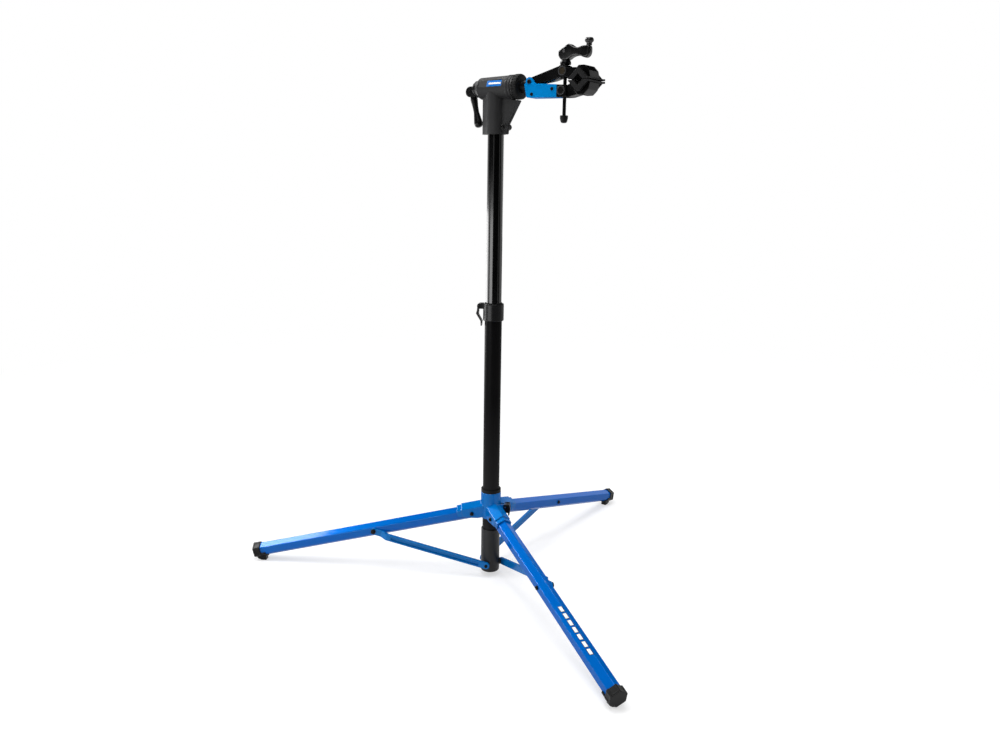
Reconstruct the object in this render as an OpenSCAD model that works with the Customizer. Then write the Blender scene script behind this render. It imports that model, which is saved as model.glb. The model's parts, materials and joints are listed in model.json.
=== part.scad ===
// Folding bike repair stand: a telescoping mast on three hexagonal legs that fold up round it,
// and a turning clamp with a screw and cam handle.
// Origin on the floor under the mast axis, +X along the clamp arm.

/* [Mast] */
// Outer diameter of the lower mast tube
lower_tube_d = 50; // [48:0.5:52]
// Wall of the lower mast tube
lower_tube_wall = 1.7; // [1.4:0.1:2.2]
// Wall of the upper mast tube
upper_tube_wall = 2; // [1.5:0.1:2.5]
// Length of the upper tube that stays inside the lower tube, below the collar's top
tube_insert = 145; // [110:5:180]
// Height of the clamp arm's axis above the floor
clamp_axis_z = 1440; // [1400:5:1460]
// Length of the glide plug in the foot of the upper tube
glide_len = 34; // [28:1:40]

/* [Base sleeve] */
// Outer diameter of the base sleeve
sleeve_d = 57; // [56:0.5:59]
// Height of the base sleeve
sleeve_h = 139; // [120:1:150]
// Floor of the base sleeve, under the tube
sleeve_floor = 5; // [3:0.5:8]
// Gap between the base sleeve and the floor
sleeve_lift = 14; // [10:0.5:18]
// Radius of the bosses that carry the struts
strut_boss_r = 10; // [9:0.5:11]

/* [Legs] */
// Width of a hexagonal leg across its flats
leg_flat = 38; // [36:0.5:38.5]
// Wall of a leg
leg_wall = 1.8; // [1.4:0.1:2.4]
// Length of a leg from its pivot to the end of its foot cap
leg_len = 722; // [695:1:735]
// Slope of a leg below the horizontal, standing
leg_slope = 14.02; // [12:0.1:15]
// Height of a leg's axis above the floor, at the end of its foot cap
foot_axis_h = 28.5; // [28:0.5:31]
// Distance of a leg's pivot from the mast axis
leg_pivot_u = 55; // [54:0.5:58]
// Length of a leg behind its pivot
leg_tail = 8; // [7:0.5:9]
// Length of the foot cap
cap_len = 23; // [20:1:28]
// Wall of the foot cap
cap_wall = 3.8; // [2.6:0.2:4.4]
// Width of the foot cap's pad
pad_w = 18; // [12:1:24]

/* [Struts] */
// Distance of the strut's bolt from the leg's pivot, along the leg
strut_at = 317.5; // [305:0.5:318]
// Distance of the strut's lower bolt from the mast axis, towards its leg
strut_foot_u = 8; // [6:0.5:9]
// Height of the strut's lower bolt above the floor
strut_foot_z = 40; // [38:0.5:43]
// Height of the strut's bar
strut_h = 20; // [18:0.5:22]
// Thickness of the strut's bar
strut_t = 9; // [8:0.5:10]
// Thickness of the flat tab at the leg
strut_tab_t = 5; // [4:0.5:6]
// Depth of the groove along the strut
strut_groove = 5; // [3:0.5:6]
// Slope of a folded leg
fold_slope = 87.5; // [84:0.5:88]

/* [Hub] */
// Outer diameter of the hub's ring
hub_d = 60.6; // [60:0.2:62]
// Height of the hub's ring above the leg pivots
hub_rise = 68.3; // [62:0.5:75]
// Depth of the hub below the leg pivots
hub_drop = 13.2; // [11:0.2:15]
// Thickness of the wear bushes in the hub
hub_bush_t = 2.2; // [1.8:0.1:2.4]
// Height of the bush's flange above the hub
hub_bush_flange = 10; // [6:0.5:12]
// Thickness of the yokes' side plates
yoke_wall = 4.6; // [3.5:0.2:5]
// Reach of a yoke's hood beyond the pivot
yoke_reach = 30; // [26:1:34]
// Length of the lip in front of the hood
yoke_lip = 15.4; // [10:0.5:20]

/* [Height collar] */
// Outer diameter of the height collar
collar_d = 60; // [59:0.5:62]
// Height of the height collar
collar_h = 50; // [46:1:56]
// Depth of the lower tube in the collar
collar_seat = 27; // [22:1:28]

/* [Clamp head] */
// Height of the clamp axis above the bottom of the head
head_drop = 122; // [110:1:130]
// Outer diameter of the head's socket
socket_d = 56; // [54:0.5:58]
// Radius of the barrel at the lever's end
barrel_r1 = 29; // [27:0.5:30]
// Radius of the barrel at the clamp's end
barrel_r2 = 32; // [31:0.5:33]
// Radius of the clamp's shaft
shaft_r = 13; // [11:0.5:14]
// Radius of the ribbed flange
flange_r = 33; // [31:0.5:35]
// Width of the ribbed flange
flange_w = 23; // [18:1:26]
// Length of the lock lever from its pin to its bulb
lock_len = 98; // [86:1:102]

/* [Clamp] */
// Distance of the jaw pivot from the mast axis
jaw_pivot_x = 121.5; // [118:0.5:125]
// Distance of the clamp screw from the mast axis
screw_x = 220; // [215:1:224]
// Distance of the middle of the jaws from the mast axis
jaw_x = 282; // [278:1:290]
// Half width of the clamp arm
arm_half = 20; // [19:0.5:22]
// Wall of the clamp arm
arm_wall = 4; // [3:0.5:4.5]
// Half length of the jaws' pads
pad_half = 41; // [36:1:44]
// Half diagonal of the square opening between the closed pads
bite = 14.5; // [12:0.5:16]
// Half diagonal of the pads' outside
pad_out = 27; // [25:0.5:28]
// Radius of the clamp screw
screw_r = 5; // [4:0.5:5]
// Radius of the trunnions
trunnion_r = 8; // [7.5:0.5:9]

/* [Clearances] */
// Gap between pieces that turn or slide on each other
run_gap = 0.3; // [0.25:0.05:0.4]
// Gap round a piece that is fixed in another
seat_gap = 0.1; // [0.05:0.05:0.15]
// Gap between the two mast tubes
tube_gap = 0.6; // [0.5:0.05:0.8]

/* [Hidden] */
$fn = 64;

// Finishes, as they show in daylight
leg_blue = [0.0, 0.36, 0.75];
arm_blue = [0.0, 0.48, 0.83];
black_gloss = [0.05, 0.05, 0.05];
charcoal = [0.17, 0.17, 0.18];
black_plastic = [0.09, 0.09, 0.095];
rubber = [0.07, 0.07, 0.07];
steel = [0.62, 0.62, 0.64];
bronze = [0.42, 0.36, 0.26];

// Bearings of the legs and levers round the mast
right_az = 90;
left_az = 210;
front_az = 330;
height_lever_az = 210;
hub_lever_az = 30;

// Fasteners
bolt_r = 4;
bolt_head_r = 6;
bolt_head_h = 5;
low_head_r = 5;
low_head_h = 3;
nut_h = 6;
bolt_tip = 1;
pin_r = 2.5;
pin_tip = 1;

// How far a cut runs past the face it leaves, and a size beyond any cut piece
past = 0.5;
beyond = 300;

// Mast, from the base up
lower_r = lower_tube_d / 2;
lower_bore_r = lower_r - lower_tube_wall;
upper_r = lower_bore_r - tube_gap;
sleeve_r = sleeve_d / 2;
sleeve_round = 5;
tube_foot_z = sleeve_lift + sleeve_floor;

// A leg standing, and the strut that braces it
leg_pivot_z = foot_axis_h + leg_len * sin(leg_slope);
leg_half = leg_flat / 2;
hex_tip = 1 / cos(30);
leg_round = 3;
leg_plug_len = 24;
cap_panel = 0.9;
cap_panel_w = 15;
cap_panel_len = cap_len - 5;
skirt_len = 38;
skirt_top = 6;
pad_back = 36;
pad_front = 20;
pad_toe = 8;
pad_toe_h = 5;
pad_root = 4;
leg_end_u = leg_pivot_u + leg_len * cos(leg_slope);
strut_head_u = leg_pivot_u + strut_at * cos(leg_slope);
strut_head_z = leg_pivot_z - strut_at * sin(leg_slope);
strut_len = norm([strut_head_u - strut_foot_u, strut_head_z - strut_foot_z]);
strut_slope = atan2(strut_head_z - strut_foot_z, strut_head_u - strut_foot_u);
strut_in = sleeve_r + 1;
strut_out = strut_in + strut_t;
tab_in = leg_half + 2 * run_gap;
strut_lip = 4;
strut_nut_r = 7.5;
strut_groove_x1 = 24;
strut_groove_x2 = 60;

// The same leg and strut folded along the mast, which sets how far the hub slides
fold_head_u = leg_pivot_u + strut_at * cos(fold_slope);
fold_head_z = strut_foot_z + sqrt(pow(strut_len, 2) - pow(fold_head_u - strut_foot_u, 2));
hub_travel = fold_head_z + strut_at * sin(fold_slope) - leg_pivot_z;

// Hub
hub_r = hub_d / 2;
hub_bottom_z = leg_pivot_z - hub_drop;
hub_top_z = leg_pivot_z + hub_rise;
hub_bore_r = lower_r + run_gap + hub_bush_t + seat_gap;
hub_bush_top_len = 33;
hub_bush_low_len = 25;
hub_bush_edge = 0.4;
yoke_half = leg_half + run_gap + yoke_wall;
tail_sweep = norm([leg_tail, leg_half * hex_tip]);
roof_under = tail_sweep + 3;
roof_wall = 4.6;
lip_under = leg_half * hex_tip + 1;
lip_half = yoke_half - 1.2;
lip_wall = 4.4;
yoke_skirt = 17;

// Cam levers: a cam between two ears pushes a shoe through the wall on to the tube inside
cam_r = 8;
cam_reach = 9;
ear_in = 5.5;
ear_out = 9.5;
ear_r = 8;
shoe_half = 4.8;
shoe_h = 12;
hub_cam_u = hub_r + 15;
hub_cam_z = leg_pivot_z + 21;
collar_r = collar_d / 2;
collar_z = hub_top_z + hub_bush_flange + hub_travel + 2;
collar_top_z = collar_z + collar_h;
lower_tube_top_z = collar_z + collar_seat;
collar_cam_u = collar_r + cam_reach;
collar_cam_z = collar_top_z - ear_r;
paddle_len = 58;
paddle_bend = 44;
collar_bush_rim = 2;

// Upper tube and head
tube_bottom_z = collar_top_z - tube_insert;
glide_head = 10;
glide_neck = 5;
tube_bore_r = upper_r - upper_tube_wall;
head_z = clamp_axis_z - head_drop;
tube_top_z = clamp_axis_z - barrel_r2 - 6;
socket_r = socket_d / 2;
barrel_x1 = -59;
barrel_x2 = 64;
bush_r = shaft_r + 4;
bush_len = 22;
web_half = 9;
fairing_x = -42;
fairing_half = 8.5;
fairing_round = 8;
gusset_out = 14;
web_right = 31;
pinch_x = socket_r + 7;
pinch_z = head_z + 19;
pinch_r = 8;
pinch_half = 15;
pinch_head_r = 5.5;
pinch_head_h = 6;
pinch_nut_h = 5;
slit_half = 1.2;
slit_h = 55;
label_flat = barrel_r1 - 1;
label_tilt = 20;
label_len = 80;
label_cut_w = 20;

// Lock lever behind the barrel
lock_x = -82;
lock_z = clamp_axis_z - 7;
lock_fork_r = 14;
lock_waist = 38;
lock_slot = 6.3;
lock_slot_end = lock_fork_r - 1;
lock_half = 14;
lock_lean = 14;
lock_pin_r = pin_r + 1;
lock_plate_r = 22;
lock_plate = 5;
lock_neck_r = 18.5;
lock_neck = 11;
lock_root = 4;
lock_clear = 40;

// Clamp arm and jaws, heights counted from the clamp axis
flange_x = barrel_x2 + run_gap;
neck_r = 16;
neck_x2 = jaw_pivot_x - 11;
jaw_pivot_h = 9;
jaw_bend = 33;
upper_back = 36;
lower_back = 35;
jaw_foot = lower_back - 2;
lobe_r = 11.5;
jaw_past_arm = 75;
arm_end_x = jaw_x - jaw_past_arm;
arm_in = arm_half - arm_wall;
arm_low = -33;
tongue_len = 86;
tongue_x = arm_end_x - tongue_len;
arm_screw_r = 3;
arm_screw_head_r = 4.5;
arm_screws_at = [[arm_end_x - 14, -12], [tongue_x + 9, -23]];
upper_half = arm_in - run_gap;
screw_low_h = -17;
screw_up_h = 31;
slot_half = screw_r + 2;
slot_x1 = screw_x - 15;
slot_x2 = screw_x + 15;
hump_r = trunnion_r + 7.8;
jaw_h = 5;
jaw_half = 24;
jaw_split = 1;
rim_w = 5;
rim_out = pad_out + 4;
rim_cut = pad_out + 1;
rib_w = 2.5;
rib_out = pad_out + 2.5;
rib_y = jaw_half + 4;
relief = 0.5;
lip_out = pad_out + 6;
lip_in = pad_out - 6.5;
lip_h = 4.5;
washer_r = 14.3;
washer_h = 10;
washer_low_h = screw_up_h + hump_r + past;

// Clamp screw, cam handle and crank knob
handle_seat_h = washer_low_h + washer_h + run_gap;
cam_pin_h = handle_seat_h + 21.5;
screw_bottom_h = -88;
screw_stub = 6;
screw_top_h = cam_pin_h + screw_stub;
cap_r = 10.5;
screw_cap_low_h = screw_bottom_h - 9;
screw_cap_top_h = screw_bottom_h + 10;
handle_half = 11;
grip_half = 8.5;
handle_clear = 40;
crank_len = 68;
waist_x = 32;
knob_x = screw_x + crank_len;
knob_seat_h = cam_pin_h + 10;

// Corner b of an outline, between a and c, turned into an arc of radius r in n steps
function corner(a, b, c, r, n = 5) =
  let(
    u = (a - b) / norm(a - b),
    v = (c - b) / norm(c - b),
    half = acos(u * v) / 2,
    middle = b + (u + v) / norm(u + v) * r / sin(half),
    first = b + u * r / tan(half) - middle,
    last = b + v * r / tan(half) - middle,
    from = atan2(first.y, first.x),
    turn = atan2(last.y, last.x) - from,
    sweep = turn > 180 ? turn - 360 : turn < -180 ? turn + 360 : turn
  )
  r == 0 ? [b] : [for (i = [0:n]) middle + r * [cos(from + sweep * i / n), sin(from + sweep * i / n)]];

// An outline of [x, y, radius] points with its corners rounded
function rounded(points) =
  let(n = len(points))
  [
    for (i = [0:n - 1])
      let(a = points[(i + n - 1) % n], b = points[i], c = points[(i + 1) % n])
      each corner([a.x, a.y], [b.x, b.y], [c.x, c.y], b[2])
  ];

// A hexagon that stands on a corner, given across its flats
function hexagon(flat, round) =
  rounded([for (i = [0:5]) [flat / sqrt(3) * cos(90 + 60 * i), flat / sqrt(3) * sin(90 + 60 * i), round]]);

// A flat outline in X and Z, given thickness along Y
module slab(y1, y2) {
  translate([0, y2, 0]) rotate([90, 0, 0]) linear_extrude(y2 - y1) children();
}

// A flat outline in Y and Z, carried along X
module along_x(x1, x2) {
  translate([x1, 0, 0]) rotate([90, 0, 90]) linear_extrude(x2 - x1) children();
}

// A round rod from x1 to x2 about the X axis
module rod_x(r, x1, x2) {
  translate([x1, 0, 0]) rotate([0, 90, 0]) cylinder(r = r, h = x2 - x1);
}

// A round rod from y1 to y2 about the Y axis, through x and z
module rod_y(r, y1, y2, x = 0, z = 0) {
  translate([x, y1, z]) rotate([-90, 0, 0]) cylinder(r = r, h = y2 - y1);
}

// A round rod from z1 to z2 about the Z axis
module rod_z(r, z1, z2) {
  translate([0, 0, z1]) cylinder(r = r, h = z2 - z1);
}

// A pipe between two heights
module pipe(outer, inner, z1, z2) {
  difference() {
    rod_z(outer, z1, z2);
    rod_z(inner, z1 - past, z2 + past);
  }
}

// The frame of a leg: X along the leg from its pivot, Y sideways, Z square to its upper edge
module at_leg(az) {
  rotate([0, 0, az]) translate([leg_pivot_u, 0, leg_pivot_z]) rotate([0, leg_slope, 0]) children();
}

// The frame of a strut: X along the strut from its lower bolt
module at_strut(az) {
  rotate([0, 0, az]) translate([strut_foot_u, 0, strut_foot_z]) rotate([0, -strut_slope, 0]) children();
}

// The frame of the clamp: heights counted from the clamp axis
module at_clamp() {
  translate([0, 0, clamp_axis_z]) children();
}

// Two ears beside a cam lever, reaching out from a wall at radius wall_u
module cam_ears(wall_u, cam_u, cam_z) {
  for (side = [0, 1]) mirror([0, side, 0]) slab(ear_in, ear_out) union() {
    translate([cam_u, cam_z]) circle(ear_r);
    translate([wall_u, cam_z - ear_r]) square([cam_u - wall_u, 2 * ear_r]);
  }
}

// The way a shoe slides in, through a wall out to radius out_u
module shoe_way(cam_z, out_u) {
  translate([0, -shoe_half - seat_gap, cam_z - shoe_h / 2 - seat_gap])
    cube([out_u, 2 * (shoe_half + seat_gap), shoe_h + 2 * seat_gap]);
}

// A shoe between the tube of radius tube_r and its cam
module cam_shoe(tube_r, cam_u, cam_z) {
  difference() {
    translate([0, -shoe_half, cam_z - shoe_h / 2]) cube([cam_u - cam_r - run_gap, 2 * shoe_half, shoe_h]);
    rod_z(tube_r + run_gap, cam_z - shoe_h, cam_z + shoe_h);
  }
}

// A pin through both ears
module ear_pin(cam_u, cam_z) {
  rod_y(pin_r, -ear_out - pin_tip, ear_out + pin_tip, cam_u, cam_z);
}

// Mast

module lower_tube() {
  color(charcoal) pipe(lower_r, lower_bore_r, tube_foot_z, lower_tube_top_z);
}

module base_sleeve() {
  top = sleeve_lift + sleeve_h;
  color(black_plastic) difference() {
    union() {
      rotate_extrude() polygon(rounded([
        [0, sleeve_lift, 0], [sleeve_r, sleeve_lift, sleeve_round], [sleeve_r, top, 1.5], [0, top, 0]
      ]));
      for (az = [right_az, left_az, front_az]) rotate([0, 0, az])
        rod_y(strut_boss_r, 0, strut_in - run_gap, strut_foot_u, strut_foot_z);
    }
    rod_z(lower_r + seat_gap, tube_foot_z, top + past);
    for (az = [right_az, left_az, front_az]) rotate([0, 0, az])
      rod_y(bolt_r + seat_gap, lower_r, strut_in, strut_foot_u, strut_foot_z);
  }
}

module strut_bolts() {
  color(black_gloss) for (az = [right_az, left_az, front_az]) rotate([0, 0, az]) {
    rod_y(bolt_r, lower_r + run_gap, strut_out + run_gap, strut_foot_u, strut_foot_z);
    rod_y(low_head_r, strut_out + run_gap, strut_out + run_gap + low_head_h, strut_foot_u, strut_foot_z);
  }
}

module height_collar() {
  color(black_plastic) difference() {
    union() {
      rotate_extrude() polygon(rounded([
        [lower_r + seat_gap, collar_z, 0], [collar_r, collar_z, 2], [collar_r, collar_top_z, 3],
        [lower_r + seat_gap, collar_top_z, 0]
      ]));
      rotate([0, 0, height_lever_az]) cam_ears(collar_r - 2, collar_cam_u, collar_cam_z);
    }
    rotate([0, 0, height_lever_az]) {
      shoe_way(collar_cam_z, collar_cam_u - cam_r);
      rod_y(pin_r + seat_gap, -ear_out - past, ear_out + past, collar_cam_u, collar_cam_z);
    }
  }
}

module collar_bush() {
  color(rubber) difference() {
    pipe(lower_r, upper_r + run_gap, lower_tube_top_z + seat_gap, collar_top_z + collar_bush_rim);
    rotate([0, 0, height_lever_az]) shoe_way(collar_cam_z, collar_r);
  }
}

module collar_shoe() {
  color(black_plastic) rotate([0, 0, height_lever_az]) cam_shoe(upper_r, collar_cam_u, collar_cam_z);
}

module collar_pin() {
  color(steel) rotate([0, 0, height_lever_az]) ear_pin(collar_cam_u, collar_cam_z);
}

module height_lever() {
  cam_half = ear_in - run_gap;
  paddle_half = ear_out - run_gap;
  at = [collar_cam_u, 0, collar_cam_z];
  color(black_plastic) rotate([0, 0, height_lever_az]) translate(at) difference() {
    union() {
      rod_y(cam_r, -cam_half, cam_half);
      slab(-cam_half, cam_half) polygon(rounded([
        [-2, 6, 2], [7, 3, 3], [8.5, -10, 4], [9, -20, 1], [5, -20, 1], [2.5, -10, 3], [-3, -6, 2]
      ]));
      slab(-paddle_half, paddle_half) polygon(rounded([
        [8, -12, 2], [11, -paddle_bend / 2, 4], [-2.5, -paddle_bend, 4], [-3, -paddle_len, 1],
        [-6, -paddle_len, 1], [-7, -paddle_bend, 4], [4, -paddle_bend / 2 - 2, 5], [3, -13, 2]
      ]));
    }
    rod_y(pin_r + run_gap, -cam_half - past, cam_half + past);
  }
}

module glide_plug() {
  color(rubber) {
    rod_z(tube_bore_r - run_gap, tube_bottom_z, tube_bottom_z + glide_len - glide_head);
    rod_z(lower_bore_r - run_gap, tube_bottom_z - glide_head, tube_bottom_z - run_gap);
    rod_z(tube_bore_r - glide_neck, tube_bottom_z - glide_neck, tube_bottom_z + glide_neck);
  }
}

module upper_tube() {
  color(black_gloss) pipe(upper_r, tube_bore_r, tube_bottom_z, tube_top_z);
}

// Clamp head

module head_body() {
  color(black_plastic) difference() {
    union() {
      socket();
      at_clamp() barrel();
      web();
      rod_y(pinch_r, -pinch_half, pinch_half, pinch_x, pinch_z);
    }
    rod_z(upper_r + seat_gap, head_z - past, tube_top_z + seat_gap);
    at_clamp() {
      rod_x(bush_r + seat_gap, barrel_x1 - past, barrel_x2 + past);
      for (side = [0, 1]) mirror([0, side, 0]) label_cut();
    }
    translate([upper_r - 2, -slit_half, head_z - past]) cube([barrel_x2, 2 * slit_half, slit_h]);
    rod_y(bolt_r + seat_gap, -pinch_half - past, pinch_half + past, pinch_x, pinch_z);
  }
}

// The barrel about the clamp axis, wider at the clamp's end, with ridges there
module barrel() {
  rotate([0, 90, 0]) rotate_extrude() polygon(rounded([
    [0, barrel_x1, 0], [barrel_r1 - 7, barrel_x1, 1], [barrel_r1, barrel_x1 + 12, 4],
    [barrel_r2 - 1, barrel_x2 - 16, 0], [barrel_r2, barrel_x2 - 15, 0], [barrel_r2, barrel_x2 - 10, 0],
    [barrel_r2 - 1, barrel_x2 - 9, 0], [barrel_r2 - 1, barrel_x2 - 6, 0], [barrel_r2, barrel_x2 - 5, 0],
    [barrel_r2, barrel_x2, 1], [0, barrel_x2, 0]
  ]));
}

// The flats at the barrel's sides
module label_cut() {
  rotate([label_tilt, 0, 0]) translate([barrel_x1 + 16, label_flat, -label_cut_w / 2])
    cube([label_len, label_cut_w, label_cut_w]);
}

// The outside of the socket, which narrows to a rounded back
module socket() {
  translate([0, 0, head_z]) linear_extrude(head_drop) union() {
    circle(socket_r);
    polygon(rounded([
      [-4, socket_r - past, 0], [fairing_x, fairing_half, fairing_round],
      [fairing_x, -fairing_half, fairing_round], [-4, past - socket_r, 0]
    ]));
  }
}

// The gusset in the plane of the arm, from the socket to a tip under the flange
module web() {
  tip_z = clamp_axis_z - flange_r - 1;
  slab(-web_half, web_half) polygon(rounded([
    [0, head_z, 0], [web_right + 6, head_z, 3], [web_right + 10, pinch_z + 6, 2],
    [barrel_x2 + gusset_out, tip_z - 2, 1], [barrel_x2 + gusset_out - 2, tip_z, 0], [barrel_x2 - 4, tip_z, 0],
    [barrel_x2 - 4, clamp_axis_z, 0], [0, clamp_axis_z, 0]
  ]));
}

module shaft_bushes() {
  color(bronze) at_clamp() for (x = [barrel_x1, barrel_x2 - bush_len]) difference() {
    rod_x(bush_r, x, x + bush_len);
    rod_x(shaft_r + run_gap, x - past, x + bush_len + past);
  }
}

module lock_cap() {
  color(black_plastic) difference() {
    union() {
      at_clamp() {
        rod_x(lock_plate_r, barrel_x1 - lock_plate, barrel_x1);
        rod_x(lock_neck_r, barrel_x1 - lock_neck, barrel_x1 - lock_root);
      }
      rod_y(lock_fork_r, -lock_half, lock_half, lock_x, lock_z);
      slab(-lock_half, lock_half) translate([lock_x, lock_z - lock_fork_r])
        square([barrel_x1 - lock_root - lock_x, 2 * lock_fork_r]);
    }
    translate([lock_x - lock_clear, -lock_slot, lock_z - lock_clear])
      cube([lock_clear + lock_slot_end, 2 * lock_slot, 2 * lock_clear]);
    rod_y(lock_pin_r + seat_gap, -lock_half - past, lock_half + past, lock_x, lock_z);
  }
}

module lock_pin() {
  color(steel) rod_y(lock_pin_r, -lock_half - pin_tip, lock_half + pin_tip, lock_x, lock_z);
}

module lock_lever() {
  cam_half = lock_slot - run_gap;
  start = lock_fork_r + 4;
  root_half = 7;
  bulb_r = 12;
  bulb = lock_len - bulb_r;
  color(black_plastic) translate([lock_x, 0, lock_z]) difference() {
    union() {
      slab(-cam_half, cam_half) union() {
        circle(lock_fork_r - 4);
        rotate(lock_lean) translate([-root_half, -start - 3]) square([2 * root_half, start + 3]);
      }
      rotate([0, 180 - lock_lean, 0]) rotate_extrude() polygon(rounded([
        [0, start, 0], [10.5, start, 2], [8, start + 22, 20], [7.5, start + lock_waist, 16],
        [bulb_r, bulb - 2, 8], [bulb_r, bulb + bulb_r, 10], [0, bulb + bulb_r, 0]
      ]));
    }
    rod_y(lock_pin_r + run_gap, -cam_half - past, cam_half + past);
  }
}

module pinch_bolt() {
  color(black_gloss) {
    rod_y(bolt_r, -pinch_half, pinch_half + pinch_nut_h + 2 * bolt_tip, pinch_x, pinch_z);
    rod_y(pinch_head_r, -pinch_half - pinch_head_h, -pinch_half, pinch_x, pinch_z);
  }
}

module pinch_nut() {
  color(black_gloss) difference() {
    translate([pinch_x, pinch_half, pinch_z]) rotate([-90, 0, 0])
      cylinder(r = pinch_head_r, h = pinch_nut_h, $fn = 6);
    rod_y(bolt_r + seat_gap, pinch_half - past, pinch_half + pinch_nut_h + past, pinch_x, pinch_z);
  }
}

// Clamp

module clamp_shaft() {
  color(steel) at_clamp() {
    rod_x(shaft_r, barrel_x1 + 2, flange_x + flange_w + past);
    rod_x(neck_r, flange_x + flange_w, neck_x2);
  }
}

module clamp_flange() {
  ribs = 24;
  rib_cut_r = 2;
  rib_cut_out = 0.8;
  color(rubber) at_clamp() difference() {
    rotate([0, 90, 0]) rotate_extrude() polygon(rounded([
      [shaft_r + seat_gap, flange_x, 0], [flange_r - 2, flange_x, 2], [flange_r, flange_x + 6, 3],
      [flange_r, flange_x + flange_w - 2, 5], [flange_r - 9, flange_x + flange_w, 2],
      [shaft_r + seat_gap, flange_x + flange_w, 0]
    ]));
    for (i = [1:ribs]) rotate([360 / ribs * i, 0, 0])
      translate([0, 0, flange_r + rib_cut_out]) rod_x(rib_cut_r, flange_x + 6, flange_x + flange_w - 3);
  }
}

module clamp_arm() {
  color(arm_blue) at_clamp() difference() {
    slab(-arm_half, arm_half) union() {
      translate([jaw_pivot_x, jaw_pivot_h]) circle(lobe_r);
      polygon(rounded([
        [jaw_pivot_x - 16, 4, 4], [jaw_pivot_x - 8, arm_low + 2, 5], [arm_end_x, arm_low, 1],
        [arm_end_x, -1.5, 2], [jaw_pivot_x + 19, 3.5, 8], [jaw_pivot_x + 10, jaw_pivot_h + 6, 0],
        [jaw_pivot_x, jaw_pivot_h, 0]
      ]));
    }
    arm_hollow();
    rod_x(neck_r + seat_gap, 0, neck_x2 + seat_gap);
    rod_y(bolt_r + seat_gap, -arm_half - past, arm_half + past, jaw_pivot_x, jaw_pivot_h);
    for (at = arm_screws_at) rod_y(arm_screw_r + seat_gap, -arm_half - past, arm_half + past, at.x, at.y);
  }
}

// The open channel of the arm, and the room for the upper jaw's root
module arm_hollow() {
  translate([neck_x2 + 6, -arm_in, arm_low + arm_wall]) cube([beyond, 2 * arm_in, beyond]);
  rod_y(lobe_r, -arm_in, arm_in, jaw_pivot_x, jaw_pivot_h);
}

// A half of the jaws' backing, above the split if side is 1 and below it if side is -1
module jaw_back(side) {
  depth = side > 0 ? upper_back : lower_back;
  translate([jaw_x, 0, jaw_h]) difference() {
    slab(-jaw_half, jaw_half) polygon(rounded([
      [-pad_out - 1, side * jaw_split, 0], [-20, side * 24, 5], [-9, side * depth, 5],
      [9, side * depth, 5], [22, side * 23, 5], [pad_out + 1, side * jaw_split, 0]
    ]));
    slab(-jaw_half - past, jaw_half + past) union() {
      pad_outline(pad_out + seat_gap);
      pad_lip(side, -seat_gap);
    }
  }
}

// The square that the pads make together, given by its half diagonal
module pad_outline(size) {
  polygon([[-size, 0], [0, -size], [size, 0], [0, size]]);
}

// The lip of a pad that sticks out of the jaws' mouth, drawn in by inset
module pad_lip(side, inset) {
  low = jaw_split + inset;
  high = jaw_split + lip_h - inset;
  translate([lip_in, side > 0 ? low : -high]) square([lip_out - lip_in - inset, high - low]);
}

// A section through a pad: a ring with its corners cut off, kept on its own side of the split
module pad_section(side, outer, cut, inner, inset) {
  split = jaw_split + inset;
  union() {
    difference() {
      intersection() {
        pad_outline(outer);
        square(2 * cut, center = true);
      }
      pad_outline(inner);
      translate([-beyond / 2, side > 0 ? split - beyond : -split]) square(beyond);
    }
    pad_lip(side, inset);
  }
}

// A half of the pads: an angled shell with a rim and a rib at each end and a lip at its outer edge
module jaw_pad(side) {
  inside = pad_half - rim_w;
  translate([jaw_x, 0, jaw_h]) {
    slab(-inside - relief, inside + relief) pad_section(side, pad_out, beyond, bite + relief, relief);
    for (end = [0, 1]) mirror([0, end, 0]) {
      slab(inside, pad_half) pad_section(side, rim_out, rim_cut, bite, 0);
      slab(rib_y, rib_y + rib_w) pad_section(side, rib_out, pad_out, bite + 4 * relief, 2 * relief);
    }
  }
}

module lower_jaw() {
  half = arm_in - seat_gap;
  color(black_plastic) at_clamp() difference() {
    union() {
      slab(-half, half) polygon(rounded([
        [tongue_x, arm_low + arm_wall + seat_gap, 2], [screw_x - 6, arm_low + arm_wall + seat_gap, 0],
        [screw_x + 4, arm_low - 1, 6], [screw_x + 22, arm_low - 1, 6], [jaw_x - 14, jaw_h - jaw_foot, 0],
        [jaw_x - pad_out - 1, jaw_h - jaw_split, 0], [screw_x + 18, -4, 6], [tongue_x, -4, 2]
      ]));
      slab(-arm_half, arm_half) polygon(rounded([
        [arm_end_x + seat_gap, arm_low, 1], [screw_x + 16, arm_low, 3], [screw_x + 16, -4, 4],
        [arm_end_x + seat_gap, -2, 1]
      ]));
      jaw_back(-1);
    }
    screw_slot();
    rod_y(trunnion_r + run_gap, -arm_half - past, arm_half + past, screw_x, screw_low_h);
    for (at = arm_screws_at) rod_y(arm_screw_r + seat_gap, -half - past, half + past, at.x, at.y);
  }
}

// The slot in a jaw that lets the clamp screw lean
module screw_slot() {
  translate([slot_x1, -slot_half, -beyond / 2]) cube([slot_x2 - slot_x1, 2 * slot_half, beyond]);
}

module lower_pad() {
  color(rubber) at_clamp() jaw_pad(-1);
}

module jaw_pivot_bolt() {
  color(black_gloss) at_clamp() {
    rod_y(bolt_r, -arm_half, arm_half + nut_h, jaw_pivot_x, jaw_pivot_h);
    rod_y(bolt_head_r, -arm_half - low_head_h, -arm_half, jaw_pivot_x, jaw_pivot_h);
    rod_y(bolt_head_r, arm_half, arm_half + low_head_h + bolt_tip, jaw_pivot_x, jaw_pivot_h);
  }
}

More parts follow.
